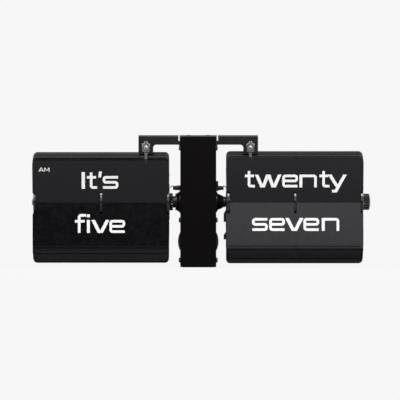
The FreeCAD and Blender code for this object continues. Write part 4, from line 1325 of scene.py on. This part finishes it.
@dataclass(frozen=True)
class Lamp:
    """Soft box: where it stands, what it looks at, its size and its brightness, in metres."""

    name: str
    place: tuple[float, float, float]
    target: tuple[float, float, float]
    size: tuple[float, float]
    brightness: float

    def build(self) -> None:
        """Make the lamp; its power gives its face the stated brightness."""
        data = bpy.data.lights.new(self.name, "AREA")
        data.shape = "RECTANGLE"
        data.size, data.size_y = self.size
        data.energy = self.brightness * math.pi * self.size[0] * self.size[1]
        lamp = placed_in_scene(data, self.name)
        look_from(lamp, self.place, self.target)
        lamp.visible_camera = False


LAMPS = (
    Lamp("overhead_box", (0.15, -0.78, 1.01), (0.15, -0.02, 0.075), (0.34, 0.65), 12.5),
    Lamp("overhead_left_box", (-0.155, -0.93, 0.91), (-0.155, -0.02, 0.075), (0.23, 0.78), 4.8),
    Lamp("front_strip", (0.0, -2.2, 0.58), (0.0, 0.0, 0.07), (2.4, 0.56), 0.93),
    Lamp("left_box", (-1.5, -0.7, 0.7), (0.0, 0.0, 0.07), (0.5, 0.7), 1.6),
    Lamp("right_box", (1.5, -0.7, 0.7), (0.0, 0.0, 0.07), (0.5, 0.7), 2.4),
)


@dataclass
class Studio:
    """Pale floor, pale surround, a dark card in front of the clock, soft boxes and the camera, in metres.

    background is the shade of the surround that the camera sees and surround the light that it gives.
    floor_rings are the radii of the floor's grid, and it fades out between the two radii of floor_fade. The
    camera sees the floor in floor_shade, with floor_lit_share of its light and shadow.
    """

    background: float = 0.925
    surround: float = 0.58
    floor_colour: float = 0.42
    floor_shade: float = 0.978
    floor_lit_share: float = 0.10
    floor_rings: tuple[float, ...] = (0.0005, 0.2, 0.5, 1.0, 1.8, 3.2)
    floor_steps: int = 64
    floor_fade: tuple[float, float] = (0.26, 0.62)
    card_half: float = 2.4
    card_low: float = -0.32
    card_high: float = 0.38
    card_place: float = -2.6
    card_grid: tuple[int, int] = (4, 5)
    clip: tuple[float, float] = (0.05, 50.0)
    sensor: float = 36.0
    distance: float = 3.0
    view_width: float = 0.4232
    camera_x: float = 0.00185
    camera_z: float = 0.0712
    leaf_plane: float = -0.020

    def world(self) -> None:
        """Surround: the background's shade for camera, mirror and see-through rays, softer for the rest."""
        world = bpy.data.worlds.new("pale_surround")
        bpy.context.scene.world = world
        world.use_nodes = True
        nodes, link = world.node_tree.nodes, world.node_tree.links.new
        nodes.clear()
        path, seen, through = (added(nodes, kind) for kind in ("LightPath", "Math", "Math"))
        seen.operation = through.operation = "MAXIMUM"
        link(path.outputs["Is Camera Ray"], seen.inputs[0])
        link(path.outputs["Is Glossy Ray"], seen.inputs[1])
        link(seen.outputs[0], through.inputs[0])
        link(path.outputs["Is Transmission Ray"], through.inputs[1])
        shade = (self.background, self.background, self.background, 1)
        soft = added(nodes, "Background", Color=(1, 1, 1, 1), Strength=self.surround)
        pale = added(nodes, "Background", Color=shade, Strength=1.0)
        mix = added(nodes, "MixShader")
        link(through.outputs[0], mix.inputs["Fac"])
        link(soft.outputs[0], mix.inputs[1])
        link(pale.outputs[0], mix.inputs[2])
        link(mix.outputs[0], added(nodes, "OutputWorld").inputs["Surface"])

    def floor(self) -> None:
        """Round pale floor whose edge fades into the surround, as a flat ring grid."""
        rings = np.array(self.floor_rings)[:, None]
        turn = np.linspace(0, 2 * np.pi, self.floor_steps, endpoint=False)
        points = np.stack([rings * np.cos(turn), rings * np.sin(turn), 0 * rings * turn], axis=-1)
        index = np.arange(self.floor_steps * len(rings)).reshape(-1, self.floor_steps)
        faces = tube_faces(index[:-1], index[1:]).tolist() + [index[0].tolist()[::-1]]
        mesh = bpy.data.meshes.new("floor")
        mesh.from_pydata(points.reshape(-1, 3).tolist(), [], faces)
        mesh.update()
        material, nodes, link = new_material("floor_paper")
        grey = (self.floor_colour, self.floor_colour, self.floor_colour, 1)
        shader = preset(nodes["Principled BSDF"], Base_Color=grey, Roughness=0.9, Specular_IOR_Level=0.1)
        length = added(nodes, "VectorMath")
        length.operation = "LENGTH"
        link(added(nodes, "TexCoord").outputs["Object"], length.inputs[0])
        start, end = self.floor_fade
        fade = added(nodes, "MapRange", From_Min=start, From_Max=end, To_Min=1.0, To_Max=0.0)
        fade.interpolation_type = "SMOOTHSTEP"
        link(length.outputs["Value"], fade.inputs["Value"])
        link(fade.outputs["Result"], shader.inputs["Alpha"])
        self.plain_to_camera(nodes, link, shader, fade.outputs["Result"])
        mesh.materials.append(material)
        placed_in_scene(mesh, "floor")

    def plain_to_camera(self, nodes: bpy.types.Nodes, link: Link, shader: bpy.types.ShaderNode,
                        opacity: bpy.types.NodeSocket) -> None:
        """Show the camera a floor of the background's shade that keeps a share of its light and shadow.

        Args:
            nodes: Nodes of the floor's material.
            link: Function that joins two sockets.
            shader: Shader that the floor has for all other rays.
            opacity: How much of the floor there is at each place.
        """
        shade = added(nodes, "Emission", Color=(self.floor_shade, self.floor_shade, self.floor_shade, 1))
        clear = added(nodes, "BsdfTransparent")
        plain, share, final = (added(nodes, "MixShader") for _ in range(3))
        link(opacity, plain.inputs["Fac"])
        link(clear.outputs[0], plain.inputs[1])
        link(shade.outputs[0], plain.inputs[2])
        share.inputs["Fac"].default_value = self.floor_lit_share
        link(plain.outputs[0], share.inputs[1])
        link(shader.outputs[0], share.inputs[2])
        link(added(nodes, "LightPath").outputs["Is Camera Ray"], final.inputs["Fac"])
        link(shader.outputs[0], final.inputs[1])
        link(share.outputs[0], final.inputs[2])
        link(final.outputs[0], nodes["Material Output"].inputs["Surface"])

    def card(self) -> None:
        """Dark card in front of the clock, seen only in reflections, as a studio's unlit side."""
        rows, columns = self.card_grid
        x, z = np.meshgrid(np.linspace(-self.card_half, self.card_half, columns),
                           np.linspace(self.card_low, self.card_high, rows))
        points = np.stack([x, np.full_like(x, self.card_place), z], axis=-1).reshape(-1, 3)
        index = np.arange(rows * columns).reshape(rows, columns)
        quads = np.stack([index[:-1, :-1], index[:-1, 1:], index[1:, 1:], index[1:, :-1]], axis=-1)
        mesh = bpy.data.meshes.new("dark_card")
        mesh.from_pydata(points.tolist(), [], quads.reshape(-1, 4).tolist())
        material, nodes, _ = new_material("dark_card_felt")
        felt = (0.02, 0.02, 0.02, 1)
        preset(nodes["Principled BSDF"], Base_Color=felt, Roughness=1.0, Specular_IOR_Level=0.0)
        mesh.materials.append(material)
        card = placed_in_scene(mesh, "dark_card")
        card.visible_camera = False
        card.visible_shadow = False

    def camera(self) -> None:
        """Level camera with a long lens, three metres from the leaves."""
        data = bpy.data.cameras.new("front_camera")
        data.sensor_width = self.sensor
        data.lens = data.sensor_width * self.distance / self.view_width
        data.clip_start, data.clip_end = self.clip
        camera = placed_in_scene(data, "front_camera")
        look_from(camera, (self.camera_x, self.leaf_plane - self.distance, self.camera_z),
                  (self.camera_x, self.leaf_plane, self.camera_z))
        bpy.context.scene.camera = camera

    def build(self) -> None:
        """Set the scene up round the clock."""
        self.world()
        self.floor()
        self.card()
        for lamp in LAMPS:
            lamp.build()
        self.camera()
        bpy.context.scene.view_settings.view_transform = "Standard"


# The clock


def minute_words() -> dict[str, tuple[Word, ...]]:
    """Words on the leaves of the minute drum that can be seen.

    Returns:
        Words of the falling leaf, of the next one and of the lowest one.
    """
    twenty = Word("twenty", (0.1, 10.6, 39.6, 57.9, 78.9, 87.9), start=49.2, line=15.1)
    eight = Word("eight", Alphabet().lefts("eight"), start=66.6, line=29.4, face=Face.BACK)
    seven = Word("seven", (0.1, 18.2, 35.1, 54.4, 74.0), start=56.9, line=29.3, face=Face.BACK)
    return {"falling": (twenty, eight), "next": (twenty,), "lower": (seven,)}


def hour_words() -> dict[str, tuple[Word, ...]]:
    """Words on the leaves of the hour drum that can be seen.

    Returns:
        Words of the falling leaf, of the next one and of the lowest one.
    """
    its = Word("It's", (0.0, 5.8, 17.9, 22.4), start=-123.4, line=14.6)
    morning = Word("AM", (0.0, 6.0), start=-168.6, line=33.1, scale=0.228)
    six = Word("six", Alphabet().lefts("six"), start=-123.4, line=27.8, face=Face.BACK)
    five = Word("five", (0.0, 12.4, 17.3, 36.6), start=-130.6, line=30.05, face=Face.BACK)
    return {"falling": (its, morning, six), "next": (its, morning), "lower": (five,)}


def main() -> None:
    """Build the clock piece by piece, then the studio."""
    logging.basicConfig(level=logging.INFO, format="%(message)s")
    Column().build()
    Claw(Side.MINUTE, crest=114.857, forward=25.99).build()
    Claw(Side.HOUR, crest=112.915, forward=27.79).build()
    Bearing(Side.MINUTE, wide=11.0, shoulder=8.9, small=5.9, neck=5.2, neck_start=28.3, end=30.62,
            rise=7.2).build()
    Bearing(Side.HOUR, wide=11.8, shoulder=10.4, small=9.2, neck=6.2, neck_start=24.4, end=26.9,
            rise=2.6).build()
    fans = (LeafFan(Side.MINUTE, inner=29.7, width=145.0, reach=46.1, lip=0.8, count=60, front=1.0,
                    play=1.0, words=minute_words(), second_lower=5.0, seed=11),
            LeafFan(Side.HOUR, inner=31.2, width=144.2, reach=45.0, lip=1.9, count=48, front=-1.5,
                    play=1.6, words=hour_words(), front_short=1.55, seed=7))
    for fan in fans:
        fan.build()
    for fan in fans:
        Drum(fan.side, fan.count, fan.front).build()
    Knob(Side.MINUTE, start=174.75, end=183.0, radius=8.8, dome=1.3).build()
    Knob(Side.HOUR, start=-26.96, end=-30.65, radius=9.25, dome=0.2).build()
    Works().build()
    Studio().build()


if __name__ == "__main__":
    main()
